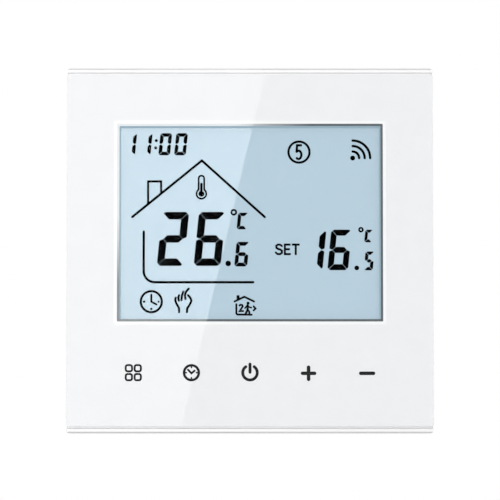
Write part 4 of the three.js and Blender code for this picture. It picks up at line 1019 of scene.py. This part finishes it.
def relay_coil():
    """Bobbin with a hollow bore and two cheeks; between them the wire's turns are the size of a
    sine along the axis."""
    (x, _, z), low, high = middle("relay_coil")
    bore, cheek, wound, wall, length = 2.1, (high[0] - low[0]) / 2 - 0.02, 4.6, 0.7, high[1] - low[1]
    along = np.linspace(wall, length - wall, 140)
    ripple = wound - 0.06 + 0.06 * np.abs(np.sin((along - wall) * TURN / 2 / 0.22))
    profile = np.vstack([[(bore, 0), (cheek, 0), (cheek, wall)], np.stack([ripple, along], 1),
                         [(cheek, length - wall), (cheek, length), (bore, length)]])
    points, _ = turned(profile, (x, low[1], z), "y", 48)
    bands = [0] * 2 + [1] * (len(profile) - 6) + [0] * 4
    add_piece("relay_coil_wound", [(points, ring_rows(len(profile), 48), np.repeat(bands, 48))],
              [BLACK_NYLON, COPPER_WIRE], "rear_unit", replaces=["relay_coil"], smooth=50)


# ---------------------------------------------------------------- frame shapes with rounded edges
def moulded_parts():
    """Parts whose frame shape is kept, each with its finish and the width of its rounded edges."""
    for node, finish, body, slot, bevel in (
            ("front_housing", WHITE_SHELL, "front_unit", "front_plastic", 0.12),
            ("backlight_frame", TRAY, "front_unit", "front_plastic", 0.1),
            ("light_guide", LIGHT_GUIDE, "front_unit", "light_guide", 0.08),
            ("zebra_strip", ZEBRA, "front_unit", "elastomer", 0.1),
            ("display_board", BOARD_GREEN, "front_unit", "circuit_board", 0.06),
            ("panel_tape", FOAM_TAPE, "front_unit", "foam_tape", 0.03),
            ("mounting_plate", ZINC, "rear_unit", "zinc_steel", 0.12),
            ("rear_housing", BACK_SHELL, "rear_unit", "back_plastic", 0.2),
            ("housing_lid", BACK_SHELL, "rear_unit", "back_plastic", 0.12),
            ("power_board", BOARD_POWER, "rear_unit", "circuit_board", 0.06),
            ("header_socket", BLACK_NYLON, "rear_unit", "black_plastic", 0.08),
            ("relay_case", RELAY_BLUE, "rear_unit", "relay_plastic", 0.25),
            ("relay_base", BLACK_NYLON, "rear_unit", "black_plastic", 0.1),
            ("relay_yoke", RELAY_STEEL, "rear_unit", "zinc_steel", 0.08),
            ("relay_armature", RELAY_STEEL, "armature", "clamp_brass", 0.06),
            ("transformer_core", FERRITE, "rear_unit", "ferrite", 0.18),
            ("transformer_winding", WINDING_TAPE, "rear_unit", "winding", 0.5),
            ("x_capacitor", FILM_YELLOW, "rear_unit", "film_case", 0.3),
            ("mains_terminal_block", TERMINAL_GREEN, "rear_unit", "terminal_plastic", 0.15),
            ("sensor_terminal_block", TERMINAL_GREEN, "rear_unit", "terminal_plastic", 0.15)):
        edged(node, finish, body, bevel)
    for i in range(1, 7):
        edged(f"wire_clamp_{i}", BRASS, f"clamp_{i}", 0.1)


for make in (front_panel, seat_lips, key_marks, display_cell, display_house, display_temperatures,
             display_symbols, all_screws, touch_springs, controller_chip, board_small_parts, thermistor,
             radio_module, header_pin_row, led_row, filter_capacitor, varistor, fuse_resistor, rectifier,
             relay_coil, moulded_parts):
    make()


# ---------------------------------------------------------------- floor, light and camera
# strength of the surroundings, and how much it grows along X, Y and Z
AROUND = 0.80
AROUND_SLOPE = (0.0, -0.32, 0.10)
FLOOR_RADIUS = 1.2
FLOOR_Z = -0.25
CAMERA_BACK = 0.40
CAMERA_DROP = math.radians(2.1)
SENSOR = 36
# width that the view takes in at the face
VIEW_WIDE = 0.11715
# the card shows in the panel up to the line between two points, in millimetres
CARD_BACK = 0.9
CARD_WIDE, CARD_TALL, CARD_GLOW = 1.3, 1.6, 2.42
CARD_EDGE_TOP, CARD_EDGE_BOTTOM = (3.9, 42.9), (-16.4, -42.9)
face = Vector((0, PANEL_LOW[1] * MM, 0))
camera_place = face + Vector((0, -math.cos(CAMERA_DROP), -math.sin(CAMERA_DROP))) * CAMERA_BACK


def into_scene(name, data):
    """Puts a mesh, light or camera into the scene as an object."""
    placed = bpy.data.objects.new(name, data)
    bpy.context.scene.collection.objects.link(placed)
    return placed


def pale_floor():
    """Plain pale disc well below the thermostat."""
    floor = bpy.data.meshes.new("floor")
    angle = np.linspace(0, TURN, 96, endpoint=False)
    rim = np.stack([FLOOR_RADIUS * np.cos(angle), FLOOR_RADIUS * np.sin(angle), np.full(96, FLOOR_Z)], 1)
    floor.from_pydata(rim, [], [list(range(96))])
    paint = moulded("pale_floor", (0.86, 0.86, 0.86), (0.84, 0.84, 0.84), 0.9, 60, 0.02, 0.2, 3)
    floor.materials.append(paint)
    into_scene("floor", floor)


def white_room():
    """White surroundings, whose strength falls off along one slope from front to back and is
    even where the camera looks straight at them."""
    world = bpy.data.worlds.new("white_room")
    world.use_nodes = True
    tree = world.node_tree
    around = tree.nodes["Background"]
    where, slope, level, seen, path, mix = [tree.nodes.new("ShaderNode" + kind) for kind in (
        "TexCoord", "VectorMath", "Math", "Background", "LightPath", "MixShader")]
    slope.operation = "DOT_PRODUCT"
    slope.inputs[1].default_value = AROUND_SLOPE
    level.inputs[1].default_value = AROUND
    for background in (around, seen):
        background.inputs["Color"].default_value = (1, 1, 1, 1)
    for giver, taker in ((where.outputs["Generated"], slope.inputs[0]),
                         (slope.outputs["Value"], level.inputs[0]),
                         (level.outputs[0], around.inputs["Strength"]),
                         (path.outputs["Is Camera Ray"], mix.inputs[0]),
                         (around.outputs[0], mix.inputs[1]),
                         (seen.outputs[0], mix.inputs[2]),
                         (mix.outputs[0], tree.nodes["World Output"].inputs["Surface"])):
        tree.links.new(giver, taker)
    bpy.context.scene.world = world


def soft_light(name, place, aim, size, power, glossy=True):
    """Rectangular soft light at a point, facing another."""
    lamp = bpy.data.lights.new(name, "AREA")
    lamp.shape = "RECTANGLE"
    lamp.size, lamp.size_y = size
    lamp.energy = power
    light = into_scene(name, lamp)
    light.location = place
    light.rotation_euler = (Vector(aim) - Vector(place)).to_track_quat("-Z", "Y").to_euler()
    light.visible_camera = False
    light.visible_glossy = glossy
    return light


def mirrored(x, z):
    """Where the line from the camera's mirror image through a point of the panel's front
    plane meets the card's plane, in metres."""
    grow = (CARD_BACK + face.y) / (CAMERA_BACK * math.cos(CAMERA_DROP)) + 1
    return np.array([x * MM * grow, camera_place.z + (z * MM - camera_place.z) * grow])


def leaning_card():
    """Soft card behind the camera, whose straight right edge shows in the panel."""
    top, bottom = mirrored(*CARD_EDGE_TOP), mirrored(*CARD_EDGE_BOTTOM)
    along = (top - bottom) / np.linalg.norm(top - bottom)
    left = np.array([-along[1], along[0]])
    x, z = (top + bottom) / 2 + left * CARD_WIDE / 2
    card = soft_light("leaning_card", (x, -CARD_BACK, z), (x, 1 - CARD_BACK, z), (CARD_WIDE, CARD_TALL),
                      CARD_GLOW * math.pi * CARD_WIDE * CARD_TALL)
    card.rotation_euler.rotate_axis("Z", -math.atan2(along[0], along[1]))
    card.visible_diffuse = False


def camera():
    """Camera a little below the face's middle, aimed at it."""
    lens = bpy.data.cameras.new("camera")
    lens.sensor_width = SENSOR
    lens.lens = SENSOR * CAMERA_BACK / VIEW_WIDE
    view = into_scene("camera", lens)
    view.location = camera_place
    view.rotation_euler = (face - camera_place).to_track_quat("-Z", "Y").to_euler()
    bpy.context.scene.camera = view
    bpy.context.scene.view_settings.view_transform = "Standard"


pale_floor()
white_room()
leaning_card()
soft_light("front_key", (0.5, -0.85, 0.25), face, (0.5, 0.5), 1.5, False)
soft_light("front_fill", (-0.5, -0.8, 0.2), face, (0.6, 0.6), 1.75, False)
soft_light("back_fill", (-0.7, 0.8, 0.7), (0, 0, 0), (0.6, 0.6), 1.6)
camera()
